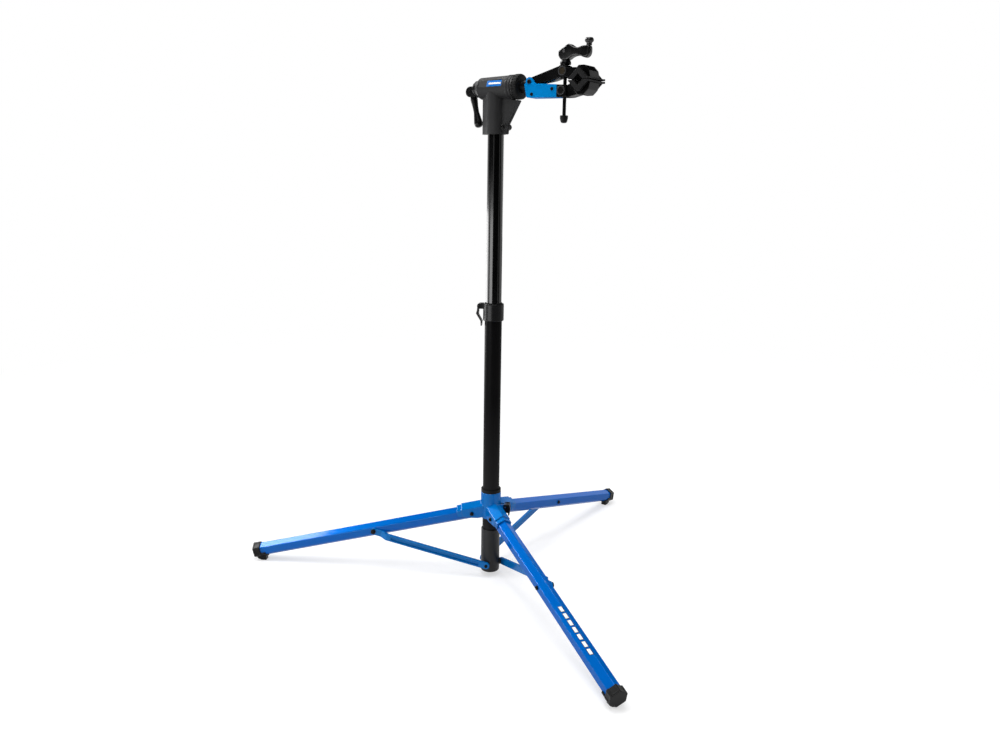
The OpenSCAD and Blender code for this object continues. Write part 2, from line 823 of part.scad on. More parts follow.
module arm_screws() {
  head = 2;
  color(black_gloss) at_clamp() for (at = arm_screws_at) {
    rod_y(arm_screw_r, -arm_half, arm_half, at.x, at.y);
    rod_y(arm_screw_head_r, -arm_half - head, -arm_half, at.x, at.y);
    rod_y(arm_screw_head_r, arm_half, arm_half + head, at.x, at.y);
  }
}

module upper_jaw() {
  color(black_plastic) at_clamp() difference() {
    union() {
      slab(-upper_half, upper_half) union() {
        translate([jaw_pivot_x, jaw_pivot_h]) circle(lobe_r - 1.5);
        translate([screw_x, screw_up_h]) circle(hump_r);
        polygon(rounded([
          [jaw_pivot_x, jaw_pivot_h - 9.9, 0], [jaw_pivot_x + 14, 3, 10], [screw_x - jaw_bend, 9.5, 20],
          [screw_x + 6, screw_up_h - 12, 10], [jaw_x - pad_out - 1, jaw_h + jaw_split, 0],
          [jaw_x - 12, jaw_h + upper_back - 4, 0], [screw_x + 10, screw_up_h + 8, 0],
          [screw_x - 10, screw_up_h + 12, 10], [jaw_pivot_x, jaw_pivot_h + 9.9, 0]
        ]));
      }
      jaw_back(1);
    }
    rod_y(bolt_r + run_gap, -arm_half, arm_half, jaw_pivot_x, jaw_pivot_h);
    rod_y(trunnion_r + run_gap, -arm_half, arm_half, screw_x, screw_up_h);
    screw_slot();
  }
}

module upper_pad() {
  color(rubber) at_clamp() jaw_pad(1);
}

// A cross barrel that the screw passes through
module trunnion(half, h) {
  at_clamp() difference() {
    rod_y(trunnion_r, -half, half, screw_x, h);
    translate([screw_x, 0, h]) rod_z(screw_r + run_gap, -2 * trunnion_r, 2 * trunnion_r);
  }
}

module lower_trunnion() {
  color(steel) trunnion(arm_half, screw_low_h);
}

module upper_trunnion() {
  color(bronze) trunnion(upper_half, screw_up_h);
}

module thrust_washer() {
  color(black_plastic) at_clamp() translate([screw_x, 0, 0]) rotate_extrude() polygon(rounded([
    [screw_r + run_gap, washer_low_h, 0], [washer_r, washer_low_h, 1], [washer_r, washer_low_h + 5, 1.5],
    [washer_r - 2, washer_low_h + washer_h, 1], [screw_r + run_gap, washer_low_h + washer_h, 0]
  ]));
}

module clamp_screw() {
  color(steel) at_clamp() translate([screw_x, 0, 0]) difference() {
    rod_z(screw_r, screw_bottom_h, screw_top_h);
    rod_y(pin_r + seat_gap, -handle_half, handle_half, 0, cam_pin_h);
  }
}

module screw_cap() {
  bottom = screw_cap_low_h;
  top = screw_cap_top_h;
  color(rubber) at_clamp() translate([screw_x, 0, 0]) difference() {
    rotate_extrude() polygon(rounded([
      [0, bottom, 0], [cap_r - 2.5, bottom, 6], [cap_r, top - 7, 2], [cap_r, top, 1], [0, top, 0]
    ]));
    rod_z(screw_r + seat_gap, screw_bottom_h - seat_gap, top + past);
  }
}

module cam_pin() {
  color(steel) at_clamp() rod_y(pin_r, -handle_half, handle_half, screw_x, cam_pin_h);
}

module cam_handle() {
  cheek = screw_r + run_gap;
  sweep = norm([screw_r, screw_stub]) + run_gap;
  color(black_plastic) at_clamp() translate([screw_x, 0, cam_pin_h]) difference() {
    intersection() {
      slab(-handle_half, handle_half) handle_side();
      translate([0, 0, -handle_clear]) linear_extrude(2 * handle_clear) handle_plan();
    }
    translate([-handle_clear, -cheek, -handle_clear])
      cube([handle_clear + sweep, 2 * cheek, handle_clear + sweep]);
    rod_y(pin_r + run_gap, -handle_half - past, handle_half + past);
  }
}

// The handle from the side: a cam head, a waist and a grip
module handle_side() {
  polygon(rounded([
    [-2, -21.5, 0], [12, -21.5, 2], [16, -13, 6], [waist_x, -9, 10], [crank_len - 16, -16, 10],
    [crank_len, -18.5, 6], [crank_len + 10, -14, 6], [crank_len + 12, 10, 3], [crank_len - 12, 9, 14],
    [waist_x + 8, 4, 14], [26, 8, 6], [12, 17, 5], [-15, 2, 5], [-17, -6, 4], [-12, -17.5, 6]
  ]));
}

// The handle from above: narrower towards a round end under the knob
module handle_plan() {
  wide = handle_half + past;
  translate([crank_len, 0]) circle(grip_half);
  polygon([
    [-handle_clear, -wide], [24, -wide], [waist_x + 8, -grip_half], [crank_len, -grip_half],
    [crank_len, grip_half], [waist_x + 8, grip_half], [24, wide], [-handle_clear, wide]
  ]);
}

module crank_knob() {
  foot_h = knob_seat_h + run_gap;
  color(black_plastic) at_clamp() translate([knob_x, 0, foot_h]) rotate_extrude() polygon(rounded([
    [0, 0, 0], [6, 0, 1], [5, 5, 2], [11, 9, 3], [11, 14, 4], [6, 18.7, 4], [0, 18.7, 0]
  ]));
}

// Hub

module hub_body() {
  color(leg_blue) difference() {
    union() {
      rod_z(hub_r, hub_bottom_z, hub_top_z);
      for (az = [right_az, left_az, front_az]) at_leg(az) yoke();
      rotate([0, 0, hub_lever_az]) cam_ears(hub_r - 2, hub_cam_u, hub_cam_z);
    }
    rod_z(hub_bore_r, hub_bottom_z - past, hub_top_z + past);
    translate([-beyond / 2, -beyond / 2, hub_bottom_z - beyond]) cube(beyond);
    for (az = [right_az, left_az, front_az]) at_leg(az)
      rod_y(bolt_r + seat_gap, -yoke_half - past, yoke_half + past);
    rotate([0, 0, hub_lever_az]) {
      shoe_way(hub_cam_z, hub_cam_u - cam_r);
      rod_y(pin_r + seat_gap, -ear_out - past, ear_out + past, hub_cam_u, hub_cam_z);
    }
  }
}

// A section of a yoke: upright sides under a roof as steep as the leg's own
module roof(half, ridge) {
  eave = ridge - half * tan(30);
  polygon([[-half, -yoke_skirt], [half, -yoke_skirt], [half, eave], [0, ridge], [-half, eave]]);
}

// A hood and a lip that house the root of a leg, open underneath
module yoke() {
  difference() {
    union() {
      along_x(-leg_pivot_u + 16, yoke_reach) roof(yoke_half, roof_under + roof_wall);
      along_x(0, yoke_reach + yoke_lip) roof(lip_half, lip_under + lip_wall);
    }
    translate([0, 0, -past]) along_x(-leg_pivot_u, yoke_reach - 4) roof(leg_half + run_gap, roof_under);
    translate([0, 0, -past]) along_x(0, beyond) roof(leg_half + run_gap, lip_under);
    translate([-beyond / 2, -leg_half - run_gap, -beyond]) cube([beyond, leg_flat + 2 * run_gap, beyond]);
  }
}

module hub_bushes() {
  color(rubber) {
    pipe(hub_bore_r - seat_gap, lower_r + run_gap, hub_top_z - hub_bush_top_len, hub_top_z + past);
    pipe(hub_r - hub_bush_edge, lower_r + run_gap, hub_top_z, hub_top_z + hub_bush_flange);
    pipe(hub_bore_r - seat_gap, lower_r + run_gap, hub_bottom_z, hub_bottom_z + hub_bush_low_len);
  }
}

module leg_pivot_bolts() {
  color(black_gloss) for (az = [right_az, left_az, front_az]) at_leg(az) {
    rod_y(bolt_r, -yoke_half, yoke_half + nut_h + bolt_tip);
    rod_y(bolt_head_r, -yoke_half - bolt_head_h, -yoke_half);
    rod_y(bolt_head_r, yoke_half, yoke_half + nut_h);
  }
}

module hub_shoe() {
  color(black_plastic) rotate([0, 0, hub_lever_az]) cam_shoe(lower_r, hub_cam_u, hub_cam_z);
}

module hub_pin() {
  color(steel) rotate([0, 0, hub_lever_az]) ear_pin(hub_cam_u, hub_cam_z);
}

module hub_lever() {
  cam_half = ear_in - run_gap;
  cheek_in = ear_out + run_gap;
  cheek_t = 3;
  cheek_out = cheek_in + cheek_t;
  color(black_plastic) rotate([0, 0, hub_lever_az]) translate([hub_cam_u, 0, hub_cam_z]) difference() {
    union() {
      rod_y(cam_r, -cam_half, cam_half);
      slab(-cam_half, cam_half) polygon(rounded([
        [0, 8, 0], [12, 8, 3], [15, -4, 3], [14, -17, 3],
        [12.5, -28, 1], [8.5, -28, 1], [8, -17, 3], [0, -8, 0]
      ]));
      slab(-cheek_out + past, cheek_out - past) polygon(rounded([
        [9.5, 8.6, 1], [12.5, 8.6, 1], [15.5, -4, 3], [14.5, -18, 2], [9.5, -18, 2]
      ]));
      for (side = [0, 1]) mirror([0, side, 0]) slab(cheek_in, cheek_out) polygon(rounded([
        [-5, 9.2, 3], [12, 9.2, 2], [13, -4, 3], [12, -17, 2], [-2, -17, 3], [-5, -8, 3]
      ]));
    }
    rod_y(pin_r + run_gap, -cheek_out - past, cheek_out + past);
  }
}

// Legs

module leg_tube(az) {
  color(leg_blue) at_leg(az) difference() {
    along_x(-leg_tail, leg_len - cap_wall - seat_gap) difference() {
      polygon(hexagon(leg_flat, leg_round));
      polygon(hexagon(leg_flat - 2 * leg_wall, leg_round - 1));
    }
    rod_y(bolt_r + run_gap, -leg_flat, leg_flat);
    rod_y(bolt_r + seat_gap, -leg_flat, leg_flat, strut_at);
  }
}

module leg_plug(az) {
  color(rubber) at_leg(az) difference() {
    along_x(-leg_tail, leg_plug_len) polygon(hexagon(leg_flat - 2 * leg_wall - 2 * seat_gap, leg_round - 1));
    rod_y(bolt_r + run_gap, -leg_flat, leg_flat);
  }
}

module foot(az) {
  color(rubber) difference() {
    union() {
      at_leg(az) {
        foot_cap();
        along_x(leg_len - skirt_len, leg_len - cap_len + past) intersection() {
          polygon(hexagon(leg_flat + 2 * cap_wall - 2 * past, leg_round + 1));
          translate([-beyond / 2, -beyond - skirt_top]) square(beyond);
        }
      }
      rotate([0, 0, az]) slab(-pad_w / 2, pad_w / 2) polygon([
        [leg_end_u - pad_back, 0], [leg_end_u - pad_front, 0], [leg_end_u - pad_toe, pad_toe_h],
        [leg_end_u - pad_toe, foot_axis_h - pad_toe], [leg_end_u - pad_back, foot_axis_h - pad_root]
      ]);
    }
    at_leg(az) along_x(leg_len - 2 * skirt_len, leg_len - cap_wall)
      polygon(hexagon(leg_flat + 2 * seat_gap, leg_round));
  }
}

// The outside of a foot cap, with a sunk panel on each of its four upper faces
module foot_cap() {
  difference() {
    along_x(leg_len - cap_len, leg_len) polygon(hexagon(leg_flat + 2 * cap_wall, leg_round + 1));
    for (i = [0:3]) rotate([60 * i, 0, 0])
      translate([leg_len - cap_len - past, leg_half + cap_wall - cap_panel, -cap_panel_w / 2])
        cube([cap_panel_len + past, cap_panel + past, cap_panel_w]);
  }
}

module leg_bolt(az) {
  color(black_gloss) at_leg(az) {
    rod_y(bolt_r, -leg_half, leg_half, strut_at);
    rod_y(bolt_head_r, -leg_half - bolt_head_h, -leg_half, strut_at);
  }
}

// Struts

module strut(az) {
  color(leg_blue) at_strut(az) difference() {
    intersection() {
      strut_plan();
      slab(0, strut_out + past) union() {
        circle(strut_h / 2);
        translate([0, -strut_h / 2]) square([strut_len, strut_h]);
        translate([strut_len, 0]) circle(strut_h / 2);
      }
    }
    rod_y(bolt_r + run_gap, 0, strut_out + past);
    rod_y(bolt_r + seat_gap, 0, strut_out + past, strut_len);
    translate([strut_groove_x1, strut_out - strut_groove, -strut_h / 2 + strut_lip])
      cube([strut_len - strut_groove_x1 - strut_groove_x2, strut_groove + past, strut_h - 2 * strut_lip]);
  }
}

// The strut seen from above: straight along the sleeve's side, then bent in to a flat tab on the leg
module strut_plan() {
  bend = strut_len - 28;
  reach = strut_len + strut_h;
  translate([0, 0, -strut_h]) linear_extrude(2 * strut_h) polygon(rounded([
    [-strut_h, strut_in, 0], [bend - 22, strut_in, 6], [bend, tab_in, 6], [reach, tab_in, 0],
    [reach, tab_in + strut_tab_t, 0], [bend + 3, tab_in + strut_tab_t, 6], [bend - 17, strut_out, 6],
    [-strut_h, strut_out, 0]
  ]));
}

module strut_nut(az) {
  out = tab_in + strut_tab_t;
  color(black_gloss) at_strut(az) {
    rod_y(bolt_r, tab_in, out, strut_len);
    rod_y(strut_nut_r, out, out + bolt_head_h, strut_len);
  }
}

lower_tube();
base_sleeve();
strut_bolts();
height_collar();
collar_bush();
collar_shoe();
collar_pin();
height_lever();
glide_plug();
upper_tube();
head_body();
shaft_bushes();
lock_cap();
lock_pin();
pinch_bolt();
pinch_nut();
lock_lever();
clamp_shaft();
clamp_flange();
clamp_arm();
lower_jaw();
lower_pad();
jaw_pivot_bolt();
arm_screws();
upper_jaw();
upper_pad();
lower_trunnion();
upper_trunnion();
thrust_washer();
clamp_screw();
screw_cap();
cam_pin();
cam_handle();
crank_knob();
hub_body();
hub_bushes();
leg_pivot_bolts();
hub_shoe();
hub_pin();
hub_lever();
leg_tube(right_az);  // right_leg
leg_plug(right_az);  // right_leg_plug
foot(right_az);  // right_foot
leg_bolt(right_az);  // right_leg_bolt
strut(right_az);  // right_strut
strut_nut(right_az);  // right_strut_nut
leg_tube(left_az);  // left_leg
leg_plug(left_az);  // left_leg_plug
foot(left_az);  // left_foot
leg_bolt(left_az);  // left_leg_bolt
strut(left_az);  // left_strut
strut_nut(left_az);  // left_strut_nut
leg_tube(front_az);  // front_leg
leg_plug(front_az);  // front_leg_plug
foot(front_az);  // front_foot
leg_bolt(front_az);  // front_leg_bolt
strut(front_az);  // front_strut
strut_nut(front_az);  // front_strut_nut
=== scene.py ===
# %% [markdown]
# # A folding bike repair stand, dressed for its picture
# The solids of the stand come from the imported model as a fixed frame. This lesson adds what a
# solid can't carry: the finishes, the screw's thread, the sockets in the bolt heads, the soft edges
# of the handle and its knob, and plain painted marks. Every new piece is a surface worked out with
# numpy and rides on the body that carries it, so the stand can still fold, turn and clamp.

# %% Load the frame
import json
from math import cos, pi, radians, sin

import bpy
import numpy as np
from mathutils import Matrix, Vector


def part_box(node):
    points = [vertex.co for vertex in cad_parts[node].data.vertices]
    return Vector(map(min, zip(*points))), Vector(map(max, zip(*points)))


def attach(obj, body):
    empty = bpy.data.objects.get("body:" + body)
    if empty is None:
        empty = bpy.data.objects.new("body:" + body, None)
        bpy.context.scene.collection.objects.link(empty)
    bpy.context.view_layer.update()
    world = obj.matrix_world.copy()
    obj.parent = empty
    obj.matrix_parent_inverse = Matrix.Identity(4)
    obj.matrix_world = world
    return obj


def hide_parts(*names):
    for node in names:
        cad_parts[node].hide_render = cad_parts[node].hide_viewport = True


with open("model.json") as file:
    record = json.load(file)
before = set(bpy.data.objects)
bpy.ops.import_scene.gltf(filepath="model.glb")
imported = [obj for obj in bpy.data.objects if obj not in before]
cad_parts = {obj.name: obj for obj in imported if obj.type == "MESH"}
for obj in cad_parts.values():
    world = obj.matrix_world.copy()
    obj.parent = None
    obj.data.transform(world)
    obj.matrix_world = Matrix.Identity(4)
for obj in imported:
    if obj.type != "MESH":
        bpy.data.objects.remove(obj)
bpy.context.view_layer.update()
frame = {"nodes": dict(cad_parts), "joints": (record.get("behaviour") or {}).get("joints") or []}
nodes = frame["nodes"]
joints = {joint["name"]: joint for joint in frame["joints"]}
scene = bpy.context.scene
print("solids:", len(nodes), "joints:", len(joints))

# %% [markdown]
# ## Camera
# The photograph was taken from the right of the stand's front and a little above its middle, with
# the camera tipped down and turned a hair about its own line of sight. A camera's matrix has its
# right, its top and its back as columns, so those three directions are worked out one after the
# other and written straight into the matrix. That is surer than guessing three angles.

# %% Camera
def camera_matrix(place, around, drop, aside, roll):
    """Columns right, top, back and place. Right is (cos a, sin a, 0), turned aside and rolled; the
    line of sight drops below the horizon; top is right x sight."""
    level = np.array([cos(around), sin(around), 0.0])
    away = np.array([-sin(around), cos(around), 0.0])
    sight = (sin(aside) * level + cos(aside) * away) * cos(drop) - sin(drop) * np.array([0, 0, 1.0])
    right = cos(aside) * level - sin(aside) * away
    top = np.cross(right, sight)
    right, top = cos(roll) * right + sin(roll) * top, cos(roll) * top - sin(roll) * right
    matrix = np.eye(4)
    matrix[:3] = np.stack([right, top, -sight, np.array(place)], 1)
    return Matrix(matrix.tolist())


lens = bpy.data.cameras.new("camera")
lens.sensor_width = 36
lens.lens = 30.26
camera = bpy.data.objects.new("camera", lens)
camera.matrix_world = camera_matrix(
    (1.4357, -1.9446, 1.1977), around=radians(36.44), drop=0.2288, aside=0.0091, roll=0.0157)
scene.collection.objects.link(camera)
scene.camera = camera
scene.view_settings.view_transform = "Standard"
print("camera at", tuple(round(v, 3) for v in camera.matrix_world.translation))

# %% [markdown]
# ## Node trees
# Blender's materials and its world are trees of nodes, which are often wired by hand in the Shader
# Editor. Written out in Python the same three steps come back all the time: feed a socket, join two
# values with a Math node, carry one range of values over to another. So each gets a helper.

# %% Helpers for node trees
def plain_nodes(name):
    """An empty material and its node tree."""
    material = bpy.data.materials.new(name)
    material.use_nodes = True
    material.node_tree.nodes.clear()
    return material, material.node_tree


def feed(tree, socket, given):
    """A socket set to a number, or linked to another socket."""
    if isinstance(given, (int, float)):
        socket.default_value = given
    else:
        tree.links.new(given, socket)


def sums(tree, operation, a, b):
    """a and b, sockets or numbers, put together by a Math node."""
    node = tree.nodes.new("ShaderNodeMath")
    node.operation = operation
    for socket, given in zip(node.inputs, (a, b)):
        feed(tree, socket, given)
    return node.outputs[0]


def spread(tree, value, low, high, to_low, to_high):
    """A value of low to high carried on to to_low to to_high, held at its ends; sockets or numbers."""
    node = tree.nodes.new("ShaderNodeMapRange")
    labels = ("Value", "From Min", "From Max", "To Min", "To Max")
    for label, given in zip(labels, (value, low, high, to_low, to_high)):
        feed(tree, node.inputs[label], given)
    return node.outputs[0]


print("node helpers ready")

# %% [markdown]
# ## Floor
# A product picture on white needs a floor that is nearly white yet keeps a faint shadow. This one
# mixes a plain diffuse white with a little light of its own that only the camera and reflections
# see, so nothing shines up at the stand. Close to the stand the diffuse share is larger and holds
# the shadow; four metres out the floor is plain white and meets the background without a line.

# %% Floor
shadow_reach, white_reach, floor_reach = 1.3, 4.0, 30.0


def seen_rays(tree):
    """1 for what the camera sees straight, mirrored or through glass, else 0."""
    path = tree.nodes.new("ShaderNodeLightPath").outputs
    straight = sums(tree, "MAXIMUM", path["Is Camera Ray"], path["Is Glossy Ray"])
    return sums(tree, "MAXIMUM", straight, path["Is Transmission Ray"])


def by_distance(tree, near, far):
    """A value of near as far out as the shadow reaches, which runs to far where the floor is white."""
    length = tree.nodes.new("ShaderNodeVectorMath")
    length.operation = "LENGTH"
    tree.links.new(tree.nodes.new("ShaderNodeTexCoord").outputs["Object"], length.inputs[0])
    return spread(tree, length.outputs["Value"], shadow_reach, white_reach, near, far)


floor_paint, tree = plain_nodes("floor_paint")
matte = tree.nodes.new("ShaderNodeBsdfDiffuse")
matte.inputs["Color"].default_value = (0.95, 0.95, 0.96, 1)
glow = tree.nodes.new("ShaderNodeEmission")
glow.inputs["Color"].default_value = (1, 1, 1, 1)
bright = sums(tree, "MULTIPLY", seen_rays(tree), by_distance(tree, near=1.25, far=1.0))
tree.links.new(bright, glow.inputs["Strength"])
mix = tree.nodes.new("ShaderNodeMixShader")
out = tree.nodes.new("ShaderNodeOutputMaterial")
tree.links.new(by_distance(tree, near=0.42, far=1.0), mix.inputs["Fac"])
tree.links.new(matte.outputs[0], mix.inputs[1])
tree.links.new(glow.outputs[0], mix.inputs[2])
tree.links.new(mix.outputs[0], out.inputs["Surface"])

floor_mesh = bpy.data.meshes.new("floor")
signs = ((-1, -1), (1, -1), (1, 1), (-1, 1))
floor_mesh.from_pydata([(x * floor_reach, y * floor_reach, 0) for x, y in signs], [], [(0, 1, 2, 3)])
floor = bpy.data.objects.new("floor", floor_mesh)
floor.data.materials.append(floor_paint)
scene.collection.objects.link(floor)
print("floor", floor.dimensions[:])

# %% [markdown]
# ## Light
# Soft panels light the stand: one overhead, one high up beside the camera, a tall one at the left
# and a weak one at the right for the edges. A gloss black tube doesn't show the light that falls on
# it but the room that it mirrors. So five more panels are there for reflections alone: two low ones
# at the left draw the pale streaks that run down the tubes and fade out below the head, a high one
# puts the sheen on the outer half of the left leg, one behind the stand greys the far faces of the
# other two legs, and a small one edges the handle and the jaws.

# %% Light
def panel(name, place, aim, size, power):
    """A soft panel of light at place, facing aim."""
    lamp = bpy.data.lights.new(name, "AREA")
    lamp.shape = "RECTANGLE"
    lamp.size, lamp.size_y = size
    lamp.energy = power
    light = bpy.data.objects.new(name, lamp)
    back = np.array(place, float) - np.array(aim, float)
    back /= np.linalg.norm(back)
    right = np.cross([0, 0, 1.0], back) if abs(back[2]) < 0.99 else np.array([1.0, 0, 0])
    right /= np.linalg.norm(right)
    matrix = np.eye(4)
    matrix[:3] = np.stack([right, np.cross(back, right), back, np.array(place, float)], 1)
    light.matrix_world = Matrix(matrix.tolist())
    scene.collection.objects.link(light)
    return light


panel("overhead", (0.0, -0.4, 3.6), aim=(0.0, 0.0, 0.4), size=(1.6, 2.6), power=66)
panel("beside_camera", (1.2, -2.0, 3.4), aim=(0.0, 0.0, 1.0), size=(1.2, 1.0), power=9)
left_panel = panel("left_panel", (-1.9, -1.7, 1.5), aim=(0.0, 0.0, 0.8), size=(0.7, 2.6), power=34)
left_panel.visible_glossy = False
panel("right_panel", (2.3, 0.3, 1.6), aim=(0.0, 0.0, 0.8), size=(0.4, 2.6), power=3)

# %% Panels for reflections
mirrored = [
    panel("near_streak", (-0.44, -2.96, 0.42), aim=(0.0, 0.0, 0.42), size=(2.2, 1.15), power=48),
    panel("far_streak", (-2.98, -0.30, 0.42), aim=(0.0, 0.0, 0.42), size=(3.2, 1.15), power=78),
    panel("leg_sheen", (-4.2, -0.6, 4.1), aim=(0.0, 0.0, 0.2), size=(2.6, 1.2), power=230),
    panel("back_sheen", (-0.45, 4.28, 1.25), aim=(0.0, 0.0, 0.6), size=(1.3, 1.0), power=7.5),
    panel("edge_sheen", (-1.7, 0.4, 4.1), aim=(0.2, 0.0, 1.5), size=(0.9, 0.6), power=20),
]
for light in mirrored:
    light.visible_diffuse = False
print("panels for reflections:", [light.name for light in mirrored])

# %% [markdown]
# ## Dark cloth
# A studio hangs black cloth where a mirror-like surface should look deep. This one is seen by
# reflections only. One curved wall stands behind the camera's right, one behind the stand, and a
# third hangs at the left from just below the head, so that the flat sides of the clamp mirror it.
# A ceiling closes the top. Its left edge runs at a slant, so that the upper faces of the legs mirror
# the cloth up to where the sheen of the panel beyond that edge begins.

# %% Dark cloth
cloth_radius, cloth_top, cloth_steps = 4.5, 4.2, 25
cloth_reach, below_head = 6.0, 1.15


def arc_wall(first, last, foot=0.0):
    """A wall on a circle round the stand from the first to the last bearing in degrees: a row of points
    at the foot, a row at the top, and the quads between them."""
    bearing = np.radians(np.linspace(first, last, cloth_steps))
    row = cloth_radius * np.stack([np.cos(bearing), np.sin(bearing), 0 * bearing], 1) + [0, 0, foot]
    here = np.arange(cloth_steps - 1)
    quads = np.stack([here, here + 1, here + 1 + cloth_steps, here + cloth_steps], 1)
    return np.concatenate([row, row + [0, 0, cloth_top - foot]]), quads


cloth_paint, tree = plain_nodes("dark_cloth")
matte = tree.nodes.new("ShaderNodeBsdfDiffuse")
matte.inputs["Color"].default_value = (0.01, 0.01, 0.01, 1)
out = tree.nodes.new("ShaderNodeOutputMaterial")
tree.links.new(matte.outputs[0], out.inputs["Surface"])
walls = [arc_wall(-76, 30), arc_wall(82, 122), arc_wall(-160, -84, foot=below_head)]
edge = [(-4.84, -cloth_reach), (cloth_reach, -cloth_reach), (cloth_reach, cloth_reach), (-1.56, cloth_reach)]
ceiling = np.array([(x, y, cloth_top) for x, y in edge])
points = np.concatenate([row for row, _ in walls] + [ceiling])
quads = [some + i * 2 * cloth_steps for i, (_, some) in enumerate(walls)]
faces = np.concatenate([*quads, [np.arange(4) + len(points) - 4]])
cloth_mesh = bpy.data.meshes.new("dark_cloth")
cloth_mesh.from_pydata(points.tolist(), [], faces.tolist())
cloth_mesh.materials.append(cloth_paint)
cloth = bpy.data.objects.new("dark_cloth", cloth_mesh)
cloth.visible_camera = cloth.visible_diffuse = False
cloth.visible_shadow = cloth.visible_transmission = False
scene.collection.objects.link(cloth)
print("cloth of", len(faces), "panels")

# %% [markdown]
# ## Room
# The world is the white room round the stand. It fills in the light between the panels at about half
# strength, and what the camera sees of it, straight or mirrored, is plain white at a strength of 1.

# %% World
room_light, seen_white = 0.52, 1.0
world = bpy.data.worlds.new("studio")
scene.world = world
world.use_nodes = True
tree = world.node_tree
tree.nodes.clear()
mix = tree.nodes.new("ShaderNodeMixShader")
out = tree.nodes.new("ShaderNodeOutputWorld")
tree.links.new(seen_rays(tree), mix.inputs["Fac"])
for socket, strength in ((mix.inputs[1], room_light), (mix.inputs[2], seen_white)):
    background = tree.nodes.new("ShaderNodeBackground")
    background.inputs["Color"].default_value = (1, 1, 1, 1)
    background.inputs["Strength"].default_value = strength
    tree.links.new(background.outputs[0], socket)
tree.links.new(mix.outputs[0], out.inputs["Surface"])

# %% [markdown]
# ## Effects that several finishes share
# Moulded grain, drawn streaks, the wear of handling and polished edges turn up on many pieces. Each
# is built once as a node group with its own inputs, and every finish places it with its own numbers.
# A group gives out only colours, values and heights; the shader itself stays in the material.

# %% Helpers for groups
VEC, NUM, COL = "NodeSocketVector", "NodeSocketFloat", "NodeSocketColor"


def new_group(name, inputs, outputs):
    """An empty group with named sockets; returns the tree and its two end nodes."""
    tree = bpy.data.node_groups.new(name, "ShaderNodeTree")
    for label, kind, value in inputs:
        socket = tree.interface.new_socket(label, in_out="INPUT", socket_type=kind)
        if value is not None:
            socket.default_value = value
    for label, kind in outputs:
        tree.interface.new_socket(label, in_out="OUTPUT", socket_type=kind)
    return tree, tree.nodes.new("NodeGroupInput"), tree.nodes.new("NodeGroupOutput")


def placed(tree, group, **values):
    """A node in a tree that stands for a group, with the named inputs fed."""
    node = tree.nodes.new("ShaderNodeGroup")
    node.node_tree = group
    for label, given in values.items():
        if isinstance(given, tuple):
            node.inputs[label].default_value = (*given, 1)
        else:
            feed(tree, node.inputs[label], given)
    return node


def cloud(tree, vector, scale, detail=3.0, rough=0.55):
    """A noise of about one wave per 1/scale metres, from 0 to 1."""
    noise = tree.nodes.new("ShaderNodeTexNoise")
    noise.inputs["Detail"].default_value = detail
    noise.inputs["Roughness"].default_value = rough
    tree.links.new(vector, noise.inputs["Vector"])
    feed(tree, noise.inputs["Scale"], scale)
    return noise.outputs[0]


def tint(tree, share, first, second):
    """first where share is 0, second where it is 1; colours or sockets."""
    node = tree.nodes.new("ShaderNodeMix")
    node.data_type = "RGBA"
    tree.links.new(share, node.inputs["Factor"])
    for label, given in (("A", first), ("B", second)):
        socket = next(s for s in node.inputs if s.name == label and s.type == "RGBA")
        if isinstance(given, tuple):
            socket.default_value = (*given, 1)
        else:
            tree.links.new(given, socket)
    return next(s for s in node.outputs if s.type == "RGBA")


NOISE_LOW, NOISE_HIGH = 0.3, 0.7


def gloss_about(tree, start, noise):
    """A roughness of Gloss - Spread to Gloss + Spread, over the range that most of a noise lies in."""
    low = sums(tree, "SUBTRACT", start.outputs["Gloss"], start.outputs["Spread"])
    high = sums(tree, "ADD", start.outputs["Gloss"], start.outputs["Spread"])
    return spread(tree, noise, NOISE_LOW, NOISE_HIGH, low, high)


print("group helpers ready")

# %% Groups for the surface: grain and streaks
# grain: a fine noise for the height, and a broad one that varies the gloss
surface_inputs = [("Vector", VEC, None), ("Scale", NUM, 1500.0), ("Gloss", NUM, 0.4), ("Spread", NUM, 0.08)]
surface_outputs = [("Height", NUM), ("Roughness", NUM)]
grain, start, end = new_group("grain", surface_inputs, surface_outputs)
fine = cloud(grain, start.outputs["Vector"], start.outputs["Scale"], detail=4.0, rough=0.6)
broad = cloud(grain, start.outputs["Vector"], 24.0)
grain.links.new(fine, end.inputs["Height"])
grain.links.new(gloss_about(grain, start, broad), end.inputs["Roughness"])

# streaks: a noise stretched along X, as a die leaves on a drawn tube
streaks, start, end = new_group("streaks", surface_inputs, surface_outputs)
stretch = streaks.nodes.new("ShaderNodeVectorMath")
stretch.operation = "MULTIPLY"
stretch.inputs[1].default_value = (0.012, 1, 1)
streaks.links.new(start.outputs["Vector"], stretch.inputs[0])
lines = cloud(streaks, stretch.outputs[0], start.outputs["Scale"], detail=2.0)
streaks.links.new(lines, end.inputs["Height"])
streaks.links.new(gloss_about(streaks, start, lines), end.inputs["Roughness"])
print("surface groups:", grain.name, streaks.name)

